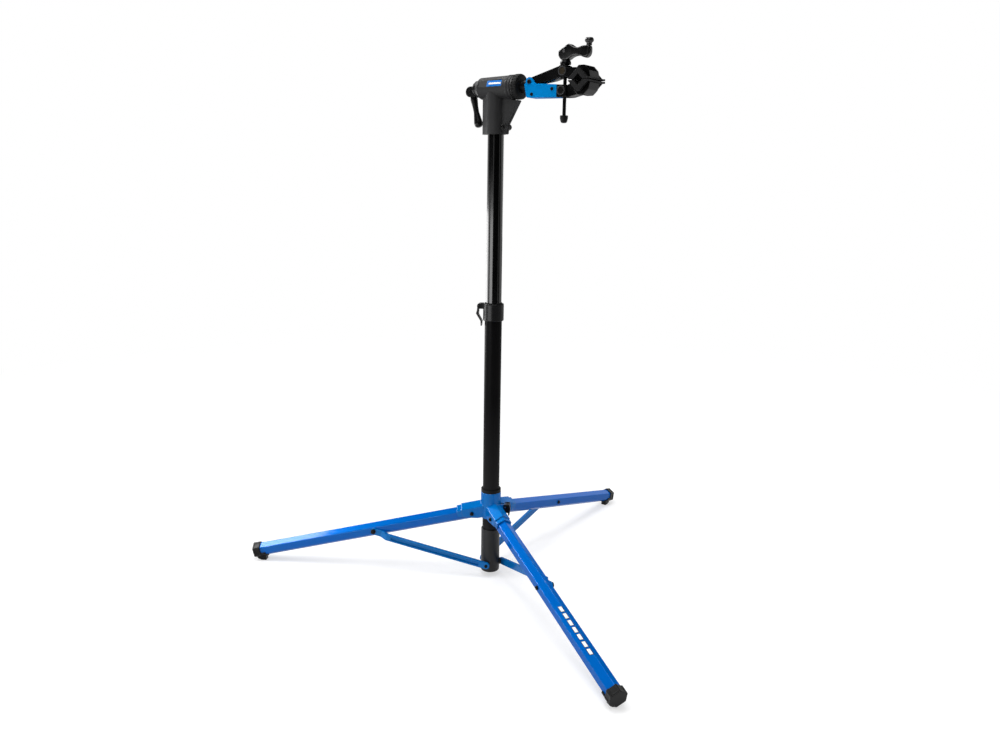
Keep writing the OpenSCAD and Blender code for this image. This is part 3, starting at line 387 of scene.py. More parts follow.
# %% Groups for wear: handling and polished edges
# handling: soft patches that shift the colour a little, and small scuffs that shift it more
patch_range, scuff_range = (0.35, 0.7), (0.62, 0.74)
handling, start, end = new_group(
    "handling",
    [("Vector", VEC, None), ("Colour", COL, (0.5, 0.5, 0.5, 1)), ("Shade", COL, (0.4, 0.4, 0.4, 1)),
     ("Scuff", COL, (0.7, 0.7, 0.7, 1)), ("Amount", NUM, 0.3)],
    [("Colour", COL)],
)
patch = cloud(handling, start.outputs["Vector"], 14.0, detail=4.0)
scuffs = cloud(handling, start.outputs["Vector"], 160.0, detail=6.0, rough=0.7)
soft = spread(handling, patch, *patch_range, 0.0, 1.0)
toned = tint(handling, soft, start.outputs["Colour"], start.outputs["Shade"])
bare = spread(handling, scuffs, *scuff_range, 0.0, 1.0)
scuffed = sums(handling, "MULTIPLY", bare, start.outputs["Amount"])
handling.links.new(tint(handling, scuffed, toned, start.outputs["Scuff"]), end.inputs["Colour"])

# polished edges: the dot product of the rounded and the plain normal falls from 1 where an edge bends
# the one away from the other; there the coat is full, and on faces it has the value of Faces
edge_bend, face_bend = 0.80, 0.98
polished, start, end = new_group(
    "polished_edges", [("Rounded", VEC, None), ("Plain", VEC, None), ("Faces", NUM, 0.3)], [("Coat", NUM)])
bent = polished.nodes.new("ShaderNodeVectorMath")
bent.operation = "DOT_PRODUCT"
polished.links.new(start.outputs["Rounded"], bent.inputs[0])
polished.links.new(start.outputs["Plain"], bent.inputs[1])
coat = spread(polished, bent.outputs["Value"], edge_bend, face_bend, 1.0, start.outputs["Faces"])
polished.links.new(coat, end.inputs["Coat"])
print("groups:", [g.name for g in bpy.data.node_groups])

# %% [markdown]
# ## Finishes
# On the real stand the legs, struts and hub are blue anodised alloy, the clamp's arm is a lighter
# blue, the upper tube is glossy black and the lower tube a satin charcoal. The head and jaws are
# black castings, the handle and two of the levers moulded nylon, the height lever worn steel, and the
# feet, pads and rings rubber. One function writes the wiring they have in common; what is the same
# all over a surface goes on the shader's sockets.

# %% Finish maker
def finish(name, colour, shade, scuff, gloss, amount, effect=grain, size=1500.0, depth=0.00002,
           metallic=0.0, shine=0.5, coat=0.0, coat_gloss=0.1, turn=None, spread_by=0.07, edge=0.0005,
           tinge=(1, 1, 1)):
    """A Principled material: colour from handling, with the given amount of scuffs; roughness of gloss
    give or take spread_by, and a bump of depth metres, from an effect of size waves per metre that may be
    turned; and edges that catch the light as if rounded by the radius edge."""
    material = bpy.data.materials.new(name)
    material.use_nodes = True
    tree = material.node_tree
    shader = tree.nodes["Principled BSDF"]
    shader.inputs["Metallic"].default_value = metallic
    shader.inputs["Specular IOR Level"].default_value = shine
    shader.inputs["Specular Tint"].default_value = (*tinge, 1)
    shader.inputs["Coat Weight"].default_value = coat
    shader.inputs["Coat Roughness"].default_value = coat_gloss
    place = tree.nodes.new("ShaderNodeTexCoord").outputs["Object"]
    worn = placed(tree, handling, Vector=place, Colour=colour, Shade=shade, Scuff=scuff, Amount=amount)
    tree.links.new(worn.outputs["Colour"], shader.inputs["Base Color"])
    if turn is not None:
        mapping = tree.nodes.new("ShaderNodeMapping")
        mapping.inputs["Rotation"].default_value = turn
        tree.links.new(place, mapping.inputs["Vector"])
        place = mapping.outputs[0]
    surface = placed(tree, effect, Vector=place, Scale=size, Gloss=gloss, Spread=spread_by)
    tree.links.new(surface.outputs["Roughness"], shader.inputs["Roughness"])
    rounding = tree.nodes.new("ShaderNodeBevel")
    rounding.inputs["Radius"].default_value = edge
    tree.links.new(rounding.outputs[0], shader.inputs["Coat Normal"])
    bump = tree.nodes.new("ShaderNodeBump")
    bump.inputs["Strength"].default_value = 1.0
    bump.inputs["Distance"].default_value = depth
    tree.links.new(surface.outputs["Height"], bump.inputs["Height"])
    tree.links.new(rounding.outputs[0], bump.inputs["Normal"])
    tree.links.new(bump.outputs[0], shader.inputs["Normal"])
    return material


def into_frame(axis):
    """The Euler turn that carries a direction on to +X, for a Mapping node in front of the streaks."""
    x = np.array(axis, float) / np.linalg.norm(axis)
    y = np.cross([0, 0, 1.0], x) if abs(x[2]) < 0.9 else np.cross([0, 1.0, 0], x)
    y /= np.linalg.norm(y)
    return Matrix(np.stack([x, y, np.cross(x, y)]).tolist()).to_euler("XYZ")


print("finish maker ready")

# %% Finishes of the black metal parts
upright = into_frame((0, 0, 1))
gloss_black = finish(
    "gloss_black", (0.0018, 0.0018, 0.0019), (0.0024, 0.0024, 0.0025), (0.012, 0.012, 0.012),
    gloss=0.12, amount=0.12, effect=streaks, size=700.0, depth=0.000003, shine=0.42, turn=upright,
    spread_by=0.03)
charcoal = finish(
    "charcoal", (0.0042, 0.0041, 0.0043), (0.0056, 0.0054, 0.0056), (0.03, 0.03, 0.03),
    gloss=0.34, amount=0.2, effect=streaks, size=1100.0, depth=0.00001, shine=0.02, turn=upright)
cast_black = finish(
    "cast_black", (0.0270, 0.0270, 0.0278), (0.0320, 0.0320, 0.0328), (0.03, 0.03, 0.03),
    gloss=0.42, amount=0.2, size=1300.0, depth=0.00003, shine=0.09, edge=0.002)
jaw_black = finish(
    "jaw_black", (0.0018, 0.0018, 0.0020), (0.0028, 0.0028, 0.0030), (0.015, 0.015, 0.015),
    gloss=0.24, amount=0.2, shine=0.14, edge=0.0025)
oxide = finish(
    "oxide", (0.0040, 0.0040, 0.0044), (0.0064, 0.0061, 0.0058), (0.04, 0.037, 0.034),
    gloss=0.34, amount=0.25, size=2400.0, depth=0.000008, metallic=0.4, shine=0.15, edge=0.0002)
worn_steel = finish(
    "worn_steel", (0.030, 0.030, 0.031), (0.022, 0.022, 0.022), (0.10, 0.10, 0.10),
    gloss=0.26, amount=0.4, size=2000.0, depth=0.000006, metallic=0.7, shine=0.3, edge=0.0006)
print("black finishes made")

# %% [markdown]
# ### Painted light at the foot of the lower tube
# The foot of the lower tube is painted a paler grey. This is painted light: a brightening that
# stands in for the light the floor bounces up on the tube. A picture could carry it, but it changes
# with the height alone, so a mask that falls with the Z of the Object coordinates does it.

# %% Painted bounce light on the foot of the lower tube
# painted light: the foot is painted paler up to this height, standing in for light bounced up from the floor
painted_bounce_below, painted_bounce_up_to = 0.22, 0.56
painted_bounce_grey = (0.022, 0.0215, 0.022)
tree = charcoal.node_tree
shader = tree.nodes["Principled BSDF"]
height = tree.nodes.new("ShaderNodeSeparateXYZ")
tree.links.new(tree.nodes.new("ShaderNodeTexCoord").outputs["Object"], height.inputs[0])
painted_bounce = spread(tree, height.outputs["Z"], painted_bounce_below, painted_bounce_up_to, 1.0, 0.0)
plain = shader.inputs["Base Color"].links[0].from_socket
tree.links.new(tint(tree, painted_bounce, plain, painted_bounce_grey), shader.inputs["Base Color"])
print("rubbed from", painted_bounce_up_to, "m down")

# %% [markdown]
# ### Blue and bright metals
# The blue of hub, struts and legs is a dye under a clear hard skin. A fully metallic blue would
# mirror the white room and turn pale, so little metal is mixed in, what it does mirror is tinged
# blue, and a thin clear coat gives the gloss. The streaks run along each leg, so every leg has a
# material of its own, with its own turn of the pattern. Pins and bushes stay plain metal.

# %% Finishes of the bright and coloured metal parts
cool = (0.12, 0.48, 0.9)
hub_blue = finish(
    "hub_blue", (0.0005, 0.142, 0.490), (0.0008, 0.150, 0.478), (0.05, 0.26, 0.58),
    gloss=0.24, amount=0.12, size=900.0, depth=0.000005, metallic=0.1, shine=0.0, coat=0.3,
    coat_gloss=0.08, edge=0.004, tinge=cool)
strut_blue = finish(
    "strut_blue", (0.0008, 0.145, 0.470), (0.0012, 0.155, 0.455), (0.04, 0.20, 0.50),
    gloss=0.26, amount=0.12, size=900.0, depth=0.000005, metallic=0.2, shine=0.0, coat=0.4,
    edge=0.001, tinge=cool)
arm_blue = finish(
    "arm_blue", (0.0004, 0.225, 0.630), (0.0008, 0.235, 0.615), (0.05, 0.26, 0.56),
    gloss=0.34, amount=0.15, size=1000.0, depth=0.00001, metallic=0.3, shine=0.05, edge=0.002, tinge=cool)
pin_steel = finish(
    "pin_steel", (0.13, 0.13, 0.135), (0.10, 0.10, 0.10), (0.20, 0.20, 0.20),
    gloss=0.40, amount=0.4, size=2000.0, depth=0.000006, metallic=1.0, edge=0.0002)
zinc = finish(
    "zinc", (0.42, 0.42, 0.44), (0.34, 0.34, 0.35), (0.55, 0.55, 0.56),
    gloss=0.32, amount=0.4, size=2000.0, depth=0.000006, metallic=1.0, edge=0.0002)
bronze = finish(
    "bronze", (0.034, 0.025, 0.014), (0.026, 0.020, 0.012), (0.08, 0.06, 0.035),
    gloss=0.42, amount=0.4, size=1600.0, depth=0.00001, metallic=0.7, shine=0.2)
leg_sides = ("right", "left", "front")
leg_blue = {}
for side in leg_sides:
    pivot = np.array(joints[f"{side}_leg_fold"]["pos_m"])
    foot = np.array(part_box(f"{side}_foot")).mean(0)
    leg_blue[side] = finish(
        f"{side}_leg_blue", (0.0002, 0.113, 0.485), (0.0005, 0.121, 0.472), (0.03, 0.18, 0.50),
        gloss=0.22, amount=0.10, effect=streaks, size=1000.0, depth=0.000002, metallic=0.1, shine=0.0,
        coat=0.30, coat_gloss=0.07, turn=into_frame(foot - pivot), spread_by=0.03, edge=0.0016, tinge=cool)
print("coloured finishes made")

# %% [markdown]
# ### Where the blue edges are polished
# Hands, and years of folding, have polished the edges of the hub and the legs. The Bevel node already
# bends the normal there, and polished_edges tells edges from faces by how far it is bent from the
# plain normal. The coat set on the shader is what its faces keep.

# %% Polished edges of the hub and legs
for material in (hub_blue, *leg_blue.values()):
    tree = material.node_tree
    coat_weight = tree.nodes["Principled BSDF"].inputs["Coat Weight"]
    plain = tree.nodes.new("ShaderNodeNewGeometry").outputs["Normal"]
    edges = placed(tree, polished, Rounded=tree.nodes["Bevel"].outputs[0], Plain=plain,
                   Faces=coat_weight.default_value)
    tree.links.new(edges.outputs["Coat"], coat_weight)
    print(material.name, "coat", round(coat_weight.default_value, 2), "on faces, full on edges")

# %% [markdown]
# ### Moulded parts
# Nylon and rubber come out of a mould with a fine grain and have no coat. Seen side by side they
# differ in how dark and how dull they are, and in how soft their edges look, so that is all that
# changes from one to the next.

# %% Finishes of the moulded parts
nylon = finish(
    "nylon", (0.0034, 0.0034, 0.0037), (0.0052, 0.0052, 0.0056), (0.025, 0.025, 0.025),
    gloss=0.30, amount=0.2, size=1700.0, depth=0.00003, shine=0.16, edge=0.0025)
handle_nylon = finish(
    "handle_nylon", (0.0024, 0.0024, 0.0027), (0.0040, 0.0040, 0.0043), (0.02, 0.02, 0.02),
    gloss=0.24, amount=0.15, size=1700.0, shine=0.45, edge=0.002)
sleeve_nylon = finish(
    "sleeve_nylon", (0.0075, 0.0075, 0.0078), (0.0100, 0.0100, 0.0104), (0.04, 0.04, 0.04),
    gloss=0.44, amount=0.2, depth=0.00003, shine=0.28)
rubber = finish(
    "rubber", (0.0040, 0.0040, 0.0040), (0.0060, 0.0060, 0.0060), (0.03, 0.028, 0.026),
    gloss=0.55, amount=0.25, size=2200.0, depth=0.00004, shine=0.12, edge=0.001)
pad_rubber = finish(
    "pad_rubber", (0.0062, 0.0062, 0.0066), (0.0085, 0.0085, 0.0089), (0.06, 0.06, 0.06),
    gloss=0.50, amount=0.25, size=2200.0, depth=0.00005, shine=0.12, edge=0.001)
foot_rubber = finish(
    "foot_rubber", (0.0036, 0.0036, 0.0036), (0.0056, 0.0054, 0.0052), (0.05, 0.047, 0.044),
    gloss=0.34, amount=0.3, size=1400.0, depth=0.00003, shine=0.13, edge=0.003)
print("moulded finishes made")

# %% [markdown]
# ## Dressing the solids
# A solid from the frame keeps its shape and only gets a finish in place of its plain colour. The
# table below names the finish of each; what is left over is moulded nylon.

# %% Dress the solids
finish_of = {
    "lower_tube": charcoal, "upper_tube": gloss_black, "head_body": cast_black, "base_sleeve": sleeve_nylon,
    "lower_jaw": jaw_black, "upper_jaw": jaw_black, "thrust_washer": jaw_black, "clamp_arm": arm_blue,
    "hub_body": hub_blue, "collar_bush": rubber, "glide_plug": rubber, "clamp_flange": rubber,
    "lower_pad": pad_rubber, "upper_pad": pad_rubber, "screw_cap": rubber, "hub_bushes": rubber,
    "shaft_bushes": bronze, "upper_trunnion": bronze, "lower_trunnion": oxide, "clamp_shaft": oxide,
    "collar_pin": oxide, "lock_pin": oxide, "cam_pin": worn_steel, "hub_pin": zinc,
    "height_lever": worn_steel,
}
for side, blue in leg_blue.items():
    finish_of.update({f"{side}_leg": blue, f"{side}_strut": strut_blue, f"{side}_foot": foot_rubber,
                      f"{side}_leg_plug": rubber})
for name, solid in nodes.items():
    solid.data.materials.clear()
    solid.data.materials.append(finish_of.get(name, nylon))
print("dressed", len(nodes), "solids")

# %% [markdown]
# ## Skins through rings
# Almost every small piece here is a stack of rings: a bolt is round rings that narrow to a hexagon
# in its socket, a thread is rings whose radius follows a wave, a plate is one outline raised off its
# face. So one helper turns any stack of rings into a closed mesh. It works on whole arrays, and the
# sign of the enclosed volume tells it which way the faces must point.

# %% Skin helper
def skin(rings, ends="fan"):
    """A closed surface through n rings of m points: quads between neighbours, and at both ends a fan from
    the middle, or for a ladder a strip of quads that joins point i to point m - 1 - i; in a hoop the last
    ring joins the first. The volume, the sum of a . (b x c) / 6, is made positive."""
    n, m, _ = rings.shape
    here = np.arange(m)
    after = (here + 1) % m
    row = (np.arange(n if ends == "hoop" else n - 1) * m)[:, None]
    next_row = (row + m) % (n * m)
    quads = np.stack([row + here, row + after, next_row + after, next_row + here], -1).reshape(-1, 4)
    points, first, last = rings.reshape(-1, 3), np.zeros((0, 3), int), np.zeros((0, 3), int)
    if ends == "ladder":
        step = np.arange(m // 2 - 1)
        rungs = np.stack([step, step + 1, m - 2 - step, m - 1 - step], -1)
        quads = np.concatenate([quads, rungs[:, ::-1], rungs + (n - 1) * m])
    elif ends == "fan":
        points = np.concatenate([points, rings[[0]].mean(1), rings[[-1]].mean(1)])
        first = np.stack([after, here, np.full(m, n * m)], -1)
        last = np.stack([(n - 1) * m + here, (n - 1) * m + after, np.full(m, n * m + 1)], -1)
    corners = points[np.concatenate([quads[:, :3], quads[:, [0, 2, 3]], first, last])]
    volume = np.einsum("ij,ij->i", corners[:, 0], np.cross(corners[:, 1], corners[:, 2])).sum() / 6
    way = 1 if volume > 0 else -1
    return points, quads[:, ::way], np.concatenate([first, last])[:, ::way]


def piece(name, skins, body, paint, slot, *stands_for, smooth=35):
    """One object from several skins, shaded smooth but for edges sharper than the angle; it rides on a
    body, and hides the solids that it stands for."""
    points, faces, start = [], [], 0
    for some, quads, fans in skins:
        points.append(some)
        faces += (quads + start).tolist() + (fans + start).tolist()
        start += len(some)
    mesh = bpy.data.meshes.new(name)
    mesh.from_pydata(np.concatenate(points).tolist(), [], faces)
    mesh.polygons.foreach_set("use_smooth", np.ones(len(faces), bool))
    mesh.set_sharp_from_angle(angle=radians(smooth))
    mesh.materials.append(paint)
    thing = bpy.data.objects.new(name, mesh)
    scene.collection.objects.link(thing)
    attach(thing, body)
    if stands_for:
        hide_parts(*stands_for)
    print(name, len(mesh.vertices), "points on", body)


def axes_along(out):
    """Three square directions as rows, the last along out."""
    z = np.array(out, float) / np.linalg.norm(out)
    x = np.cross([0, 1.0, 0], z) if abs(z[1]) < 0.9 else np.cross([0, 0, 1.0], z)
    x /= np.linalg.norm(x)
    return np.stack([x, np.cross(z, x), z])


def laid(rings, at, out):
    """Rings about +Z, moved so that +Z points along out from the point at."""
    return rings @ axes_along(out) + np.array(at)


TURN = np.linspace(0, 2 * pi, 48, endpoint=False)
# how far out the edge of a hexagon with flats at 1 lies, at each of those angles
HEXAGON = 1 / np.cos(TURN % (pi / 3) - pi / 6)
print("angles on a ring:", len(TURN))

# %% [markdown]
# ## Bolts and nuts
# The bolts of the legs, struts and clamp are black button heads with a hexagon socket. A boolean
# cut would give the socket, but leaves poor shading. Here a head is a table of rings: the shank,
# the domed edge, the flat face, and then rings that follow a hexagon down into the socket. A nut is
# the other way about, with hexagons outside and round rings at its chamfers.

# %% Bolts
def rings_of(table):
    """Rings from rows of (radius, height, share of hexagon): radius times 1 - share + share times the
    hexagon's own radius at each angle."""
    radius, height, six = np.array(table, float).T[:, :, None]
    r = radius * (1 - six + six * HEXAGON)
    return np.stack([r * np.cos(TURN), r * np.sin(TURN), height + 0 * r], -1)


def bolt(at, out, head, tall, length, shank=0.004):
    """A button head of radius head and height tall above the point at, and a shank below it. Its edge is
    a quarter circle of radius dome, and key is half the width of its socket across the flats."""
    dome, key, bevel = tall * 0.6, head * 0.48, 0.0003
    arc = np.linspace(0, pi / 2, 6)
    edge = np.stack([head - dome * (1 - np.cos(arc)), tall - dome * (1 - np.sin(arc)), 0 * arc], 1)
    table = [(shank * 0.9, -length, 0), (shank, 2 * bevel - length, 0), (shank, 0, 0)]
    table += [(head * 0.97, 0, 0), (head, bevel, 0)] + edge.tolist()
    table += [(key * 1.12, tall, 0), (key, tall - bevel, 1)]
    table += [(key, tall * 0.35, 1), (key * 0.3, tall * 0.25, 1)]
    return skin(laid(rings_of(table), at, out))


def nut(at, out, flat, tall, length, shank=0.004):
    """A hexagon nut with chamfered ends, the shank's tip standing out of it, and a shank below."""
    edge, groove, tip, bevel = flat / 2, 0.0002, 0.0018, 0.0006
    table = [(shank, -length, 0), (shank, 0, 0), (edge * 1.06, 0, 0), (edge, tall * 0.16, 1),
             (edge, tall * 0.84, 1), (edge * 1.02, tall, 0), (shank * 1.08, tall, 0),
             (shank, tall + groove, 0), (shank, tall + tip - bevel, 0), (shank * 0.8, tall + tip, 0)]
    return skin(laid(rings_of(table), at, out))


def turned(rows):
    """Round rings from rows of (radius, height) in millimetres."""
    return rings_of([(r / 1000, h / 1000, 0) for r, h in rows])


print("bolts, nuts and turned shapes ready")

# %% [markdown]
# ### Where the legs lie
# A leg's own directions follow from its joint. The joint's axis lies across the leg; the level line
# away from the mast, dropped by the slope of the legs, runs along it; and upward is square to both.
# The bolts of the base and the bars on the front leg are placed by these.

# %% Directions of the legs
leg_slope = radians(14.02)
leg_axes = {}
for side in leg_sides:
    fold = joints[f"{side}_leg_fold"]
    across = np.array(fold["axis"])
    outward = np.cross(across, [0, 0, 1.0])
    leg_axes[side] = (
        np.array(fold["pos_m"]),
        outward * cos(leg_slope) - np.array([0, 0, sin(leg_slope)]),
        across,
        outward * sin(leg_slope) + np.array([0, 0, cos(leg_slope)]),
    )
print("leg directions:", {k: np.round(v[1], 3).tolist() for k, v in leg_axes.items()})

# %% [markdown]
# ### Bolts of the base
# A leg turns on a bolt through its yoke on the hub, and a strut on one bolt at the leg and one at the
# sleeve. Leg and strut turn against each other when the stand folds, so the bolt between them could
# not be one piece: its head rides on the leg and its nut on the strut.

# %% Bolts of the base
yoke_half, leg_half, strut_at = 0.0239, 0.019, 0.3175
strut_face, tab_face = 0.0388, 0.0246
pivot_bolts = []
strut_feet = []
for side, (pivot, along, across, _) in leg_axes.items():
    pivot_bolts += [bolt(pivot - across * yoke_half, -across, head=0.006, tall=0.005, length=yoke_half),
                    nut(pivot + across * yoke_half, across, flat=0.0105, tall=0.0052, length=yoke_half)]
    head_at = pivot + along * strut_at
    leg_bolt = bolt(head_at - across * leg_half, -across, head=0.006, tall=0.0045, length=2 * leg_half)
    piece(f"{side}_leg_bolt_head", [leg_bolt], f"{side}_leg", oxide, "black_fastener", f"{side}_leg_bolt")
    strut_nut = nut(head_at + across * tab_face, across, flat=0.0142, tall=0.0046, length=0.005)
    piece(f"{side}_strut_nut_turned", [strut_nut], f"{side}_strut", oxide, "black_fastener",
          f"{side}_strut_nut")
    foot_at = np.array(joints[f"{side}_strut_fold"]["pos_m"])
    foot_at = foot_at + across * (strut_face - foot_at @ across)
    strut_feet.append(bolt(foot_at, across, head=0.005, tall=0.0028, length=0.0132))
piece("leg_pivot_bolts_turned", pivot_bolts, "hub", oxide, "black_fastener", "leg_pivot_bolts")
piece("strut_bolts_turned", strut_feet, "mast", oxide, "black_fastener", "strut_bolts")

# %% [markdown]
# ### Bolts of the head and clamp
# The upper jaw swings on a bolt through the arm's fork, two cross screws with heads on both sides hold
# the fixed jaw, and a pinch bolt draws the head's split socket together. Their places are read from
# the joints and from the boxes of the solids, so they follow the model when it changes.

# %% Bolts of the head and clamp
arm_half, screw_head, lug = 0.020, 0.0045, 0.015
jaw_x, _, jaw_z = joints["jaw_open"]["pos_m"]
piece("jaw_pivot_bolt_turned",
      [bolt((jaw_x, -arm_half, jaw_z), (0, -1, 0), head=0.006, tall=0.003, length=arm_half),
       nut((jaw_x, arm_half, jaw_z), (0, 1, 0), flat=0.0105, tall=0.0042, length=arm_half)],
      "clamp", oxide, "black_fastener", "jaw_pivot_bolt")
arm_low, arm_high = (np.array(v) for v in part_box("arm_screws"))
screw_ends = [(arm_low[0] + screw_head, arm_low[2] + screw_head),
              (arm_high[0] - screw_head, arm_high[2] - screw_head)]
piece("arm_screws_turned",
      [bolt((x, y, z), (0, np.sign(y), 0), head=screw_head, tall=0.002, length=arm_half, shank=0.003)
       for x, z in screw_ends for y in (-arm_half, arm_half)],
      "clamp", oxide, "black_fastener", "arm_screws")
pinch_low, pinch_high = (np.array(v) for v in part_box("pinch_nut"))
pinch_x, _, pinch_z = (pinch_low + pinch_high) / 2
piece("pinch_bolt_turned",
      [bolt((pinch_x, -lug, pinch_z), (0, -1, 0), head=0.0055, tall=0.006, length=lug)],
      "head", oxide, "black_fastener", "pinch_bolt")
piece("pinch_nut_turned", [nut((pinch_x, lug, pinch_z), (0, 1, 0), flat=0.0095, tall=0.005, length=lug)],
      "head", oxide, "black_fastener", "pinch_nut")

# %% [markdown]
# ## The clamp screw's thread
# The screw that draws the jaws together has a two-start trapezoid thread, which a plain rod stands
# in for in the solids. A screw modifier could sweep a tooth, but the ends would stay open. As a
# stack of rings the thread is one formula: z / lead - angle / turn, counted twice for two starts,
# tells how far a point is from a tooth, and the radius dips half way between two teeth.

# %% Thread
rings_per_tooth, plain_end, run_out = 9, 0.026, 0.003
steep, crest = 2.6, 0.8


def threaded(low, high, radius, depth, lead, starts):
    """Rings at even heights; phase p = starts (z / lead - angle / 2 pi), and the radius is radius - depth
    times steep |2 (p mod 1) - 1| - crest, held between 0 and 1, which has flat tops and slanted flanks.
    The thread fades out near the upper end."""
    z = np.linspace(low, high, int((high - low) / lead * starts * rings_per_tooth))[:, None]
    p = starts * ((z - low) / lead - TURN[None, :] / (2 * pi))
    wave = np.clip(steep * np.abs(2 * (p % 1) - 1) - crest, 0, 1)
    fade = np.clip((high - plain_end - z) / run_out, 0, 1)
    r = radius - depth * wave * fade
    return np.stack([r * np.cos(TURN), r * np.sin(TURN), z + 0 * r], -1)


rod_low, rod_high = (np.array(v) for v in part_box("clamp_screw"))
rod_axis = np.array([(rod_low[0] + rod_high[0]) / 2, 0, 0])
thread = threaded(rod_low[2], rod_high[2], radius=0.005, depth=0.0008, lead=0.004, starts=2)
piece("threaded_screw", [skin(thread + rod_axis)],
      "clamp_screw", oxide, "black_fastener", "clamp_screw", smooth=25)

# %% [markdown]
# ## The cam handle
# On the real stand the cam handle is one moulding: a forked head that rolls on the thrust washer, a
# waist for the fingers, and a grip that swells under the knob, with soft edges all round. A box with
# Subdivision Surface could be pulled into it, but here the outline is what the eye knows, so the
# handle is worked out from that: an upper and a lower curve along its length, carried across its
# width. Towards both sides the outline draws in along a quarter circle, which rounds every edge.
# Between the cheeks of the fork the head's points step back and leave the slot for the screw.

# %% Cam handle
def through(x, knots):
    """A smooth curve through knots of (x, value): cubic pieces, with the slope at each knot taken from
    its neighbours."""
    at, value = np.array(knots, float).T
    rise = np.gradient(value, at)
    i = np.clip(np.searchsorted(at, x) - 1, 0, len(at) - 2)
    width = at[i + 1] - at[i]
    t = (x - at[i]) / width
    level = value[i] * (1 + 2 * t) * (1 - t) ** 2 + value[i + 1] * t ** 2 * (3 - 2 * t)
    return level + width * (rise[i] * t * (1 - t) ** 2 - rise[i + 1] * t ** 2 * (1 - t))


upper_line = [(-17.2, -4), (-16.2, 0.8), (-13, 3.6), (0, 10.8), (8, 15.8), (12.5, 17.2), (17.5, 15.6),
              (24, 11.4), (30.5, 8.4), (37.5, 7.0), (44, 8.2), (50, 9.8), (62, 10.2), (70, 9.4),
              (74, 6), (75.6, 0)]
lower_line = [(-17.2, -7), (-16, -11), (-12, -17.3), (-7, -20.6), (-2, -21.3), (8.5, -21.3),
              (11.5, -20.4), (14.5, -18.8), (18.5, -16.4), (23.5, -14.2), (29, -12.8), (37, -12.2),
              (44, -13), (50, -15), (55, -17.2), (60, -18.6), (66, -17.4), (71, -13.8), (74.2, -8.5),
              (75.6, -4)]
half_width = [(-17.2, 1), (18, 1), (27, 0.93), (37, 0.82), (62, 0.87), (71, 0.76), (75.6, 0.5)]
side_face, rounding, cheek, fork_end, fork_step = 10.8, 3.5, 5.3, 8.1, 0.1
stations, edge_steps, most_draw, end_draw = 90, 6, 0.45, 0.7


def handle_rings():
    """Rings across the width, in millimetres from the pin. Along the length x runs with 1 - cos, close
    at both ends; a ring goes out along the upper line and back along the lower one, both drawn in by
    rounding (1 - cos a) at the width side_face - rounding (1 - sin a). A thin stretch draws in by no
    more than most_draw of its height, and the two ends by end_draw of what the lines do."""
    low, high = upper_line[0][0], upper_line[-1][0]
    x = low + (high - low) * (1 - np.cos(np.linspace(0, pi, stations))) / 2
    top, bottom, wide = through(x, upper_line), through(x, lower_line), through(x, half_width)
    a = np.linspace(pi / 2, 0, edge_steps)
    out = np.stack([side_face - rounding * (1 - np.sin(a)), rounding * (1 - np.cos(a)), 0 * a], 1)
    rows = np.concatenate([out, [(cheek, 0, 0), (cheek - fork_step, 0, 1)]])
    rings = []
    for y, inset, forked in np.concatenate([rows * [-1, 1, 1], rows[::-1]]):
        draw = np.minimum(inset, most_draw * (top - bottom))
        along = np.clip(x, low + end_draw * inset, high - end_draw * inset)
        ring = np.stack([np.append(along, along[::-1]), y * np.append(wide, wide[::-1]),
                         np.append(top - draw, (bottom + draw)[::-1])], 1)
        inside = (ring[:, 0] < fork_end) & (ring[:, 2] < fork_end) & bool(forked)
        ring[inside, 0] = fork_end
        rings.append(ring)
    return np.stack(rings)


cam_at = np.array(joints["cam_flip"]["pos_m"])
piece("moulded_handle", [skin(handle_rings() / 1000 + cam_at, "ladder")], "cam_handle", handle_nylon,
      "black_plastic", "cam_handle", smooth=40)

# %% [markdown]
# ### Knob and jaw bosses
# The knob is a turned shape: a stout stem, a bulb and a dished top. Round shapes like this could be
# spun with the Screw modifier; the table of rings that made the bolts does it just as well. The same
# table gives the round bosses on the jaws' sides, the ends of the cross barrels inside them, and the
# ends of the pin that the handle turns on.

# %% Knob
knob_at = np.array(joints["knob_spin"]["pos_m"])
knob_rows = [(7.0, 0.3), (7.4, 0.8), (7.0, 3.5), (7.2, 6.0), (9.0, 7.6), (11.0, 9.8), (11.6, 12.2),
             (11.0, 15.0), (9.6, 17.4), (8.6, 18.5), (7.8, 18.2), (3.0, 17.8)]
piece("turned_knob", [skin(turned(knob_rows) + knob_at)], "crank_knob", handle_nylon, "black_plastic",
      "crank_knob", smooth=60)

# %% Bosses and barrel ends
def on_sides(rows, name, ends="fan"):
    """Turned shapes on both ends of a cross barrel: rows of (radius, height) in millimetres stand on the
    barrel's end faces and point away along Y."""
    low, high = (np.array(v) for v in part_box(name))
    centre = (low + high) / 2
    faces = ((low[1], (0, -1, 0)), (high[1], (0, 1, 0)))
    return [skin(laid(turned(rows), (centre[0], y, centre[2]), out), ends) for y, out in faces]


boss = [(8.4, -0.4), (12.2, -0.4), (12.2, 0.5), (11.7, 1.0), (10.8, 1.2), (9.4, 1.2), (8.7, 0.8), (8.4, 0.1)]
barrel_end = [(7.8, -0.4), (7.8, 0.7), (7.4, 1.0), (2.0, 1.0)]
pin_end = [(3.7, -0.4), (3.7, 0.5), (3.3, 0.9), (1.9, 0.9), (1.6, 0.6)]
piece("upper_jaw_bosses", on_sides(boss, "upper_trunnion", "hoop"), "upper_jaw", cast_black, "black_plastic")
piece("lower_jaw_bosses", on_sides(boss, "lower_trunnion", "hoop"), "clamp", cast_black, "black_plastic")
piece("upper_barrel_ends", on_sides(barrel_end, "upper_trunnion"), "screw_carrier", bronze, "bronze")
piece("cam_pin_ends", on_sides(pin_end, "cam_pin"), "cam_handle", pin_steel, "steel")
piece("lower_barrel_ends", on_sides(barrel_end, "lower_trunnion"), "screw_nut", oxide, "black_fastener")

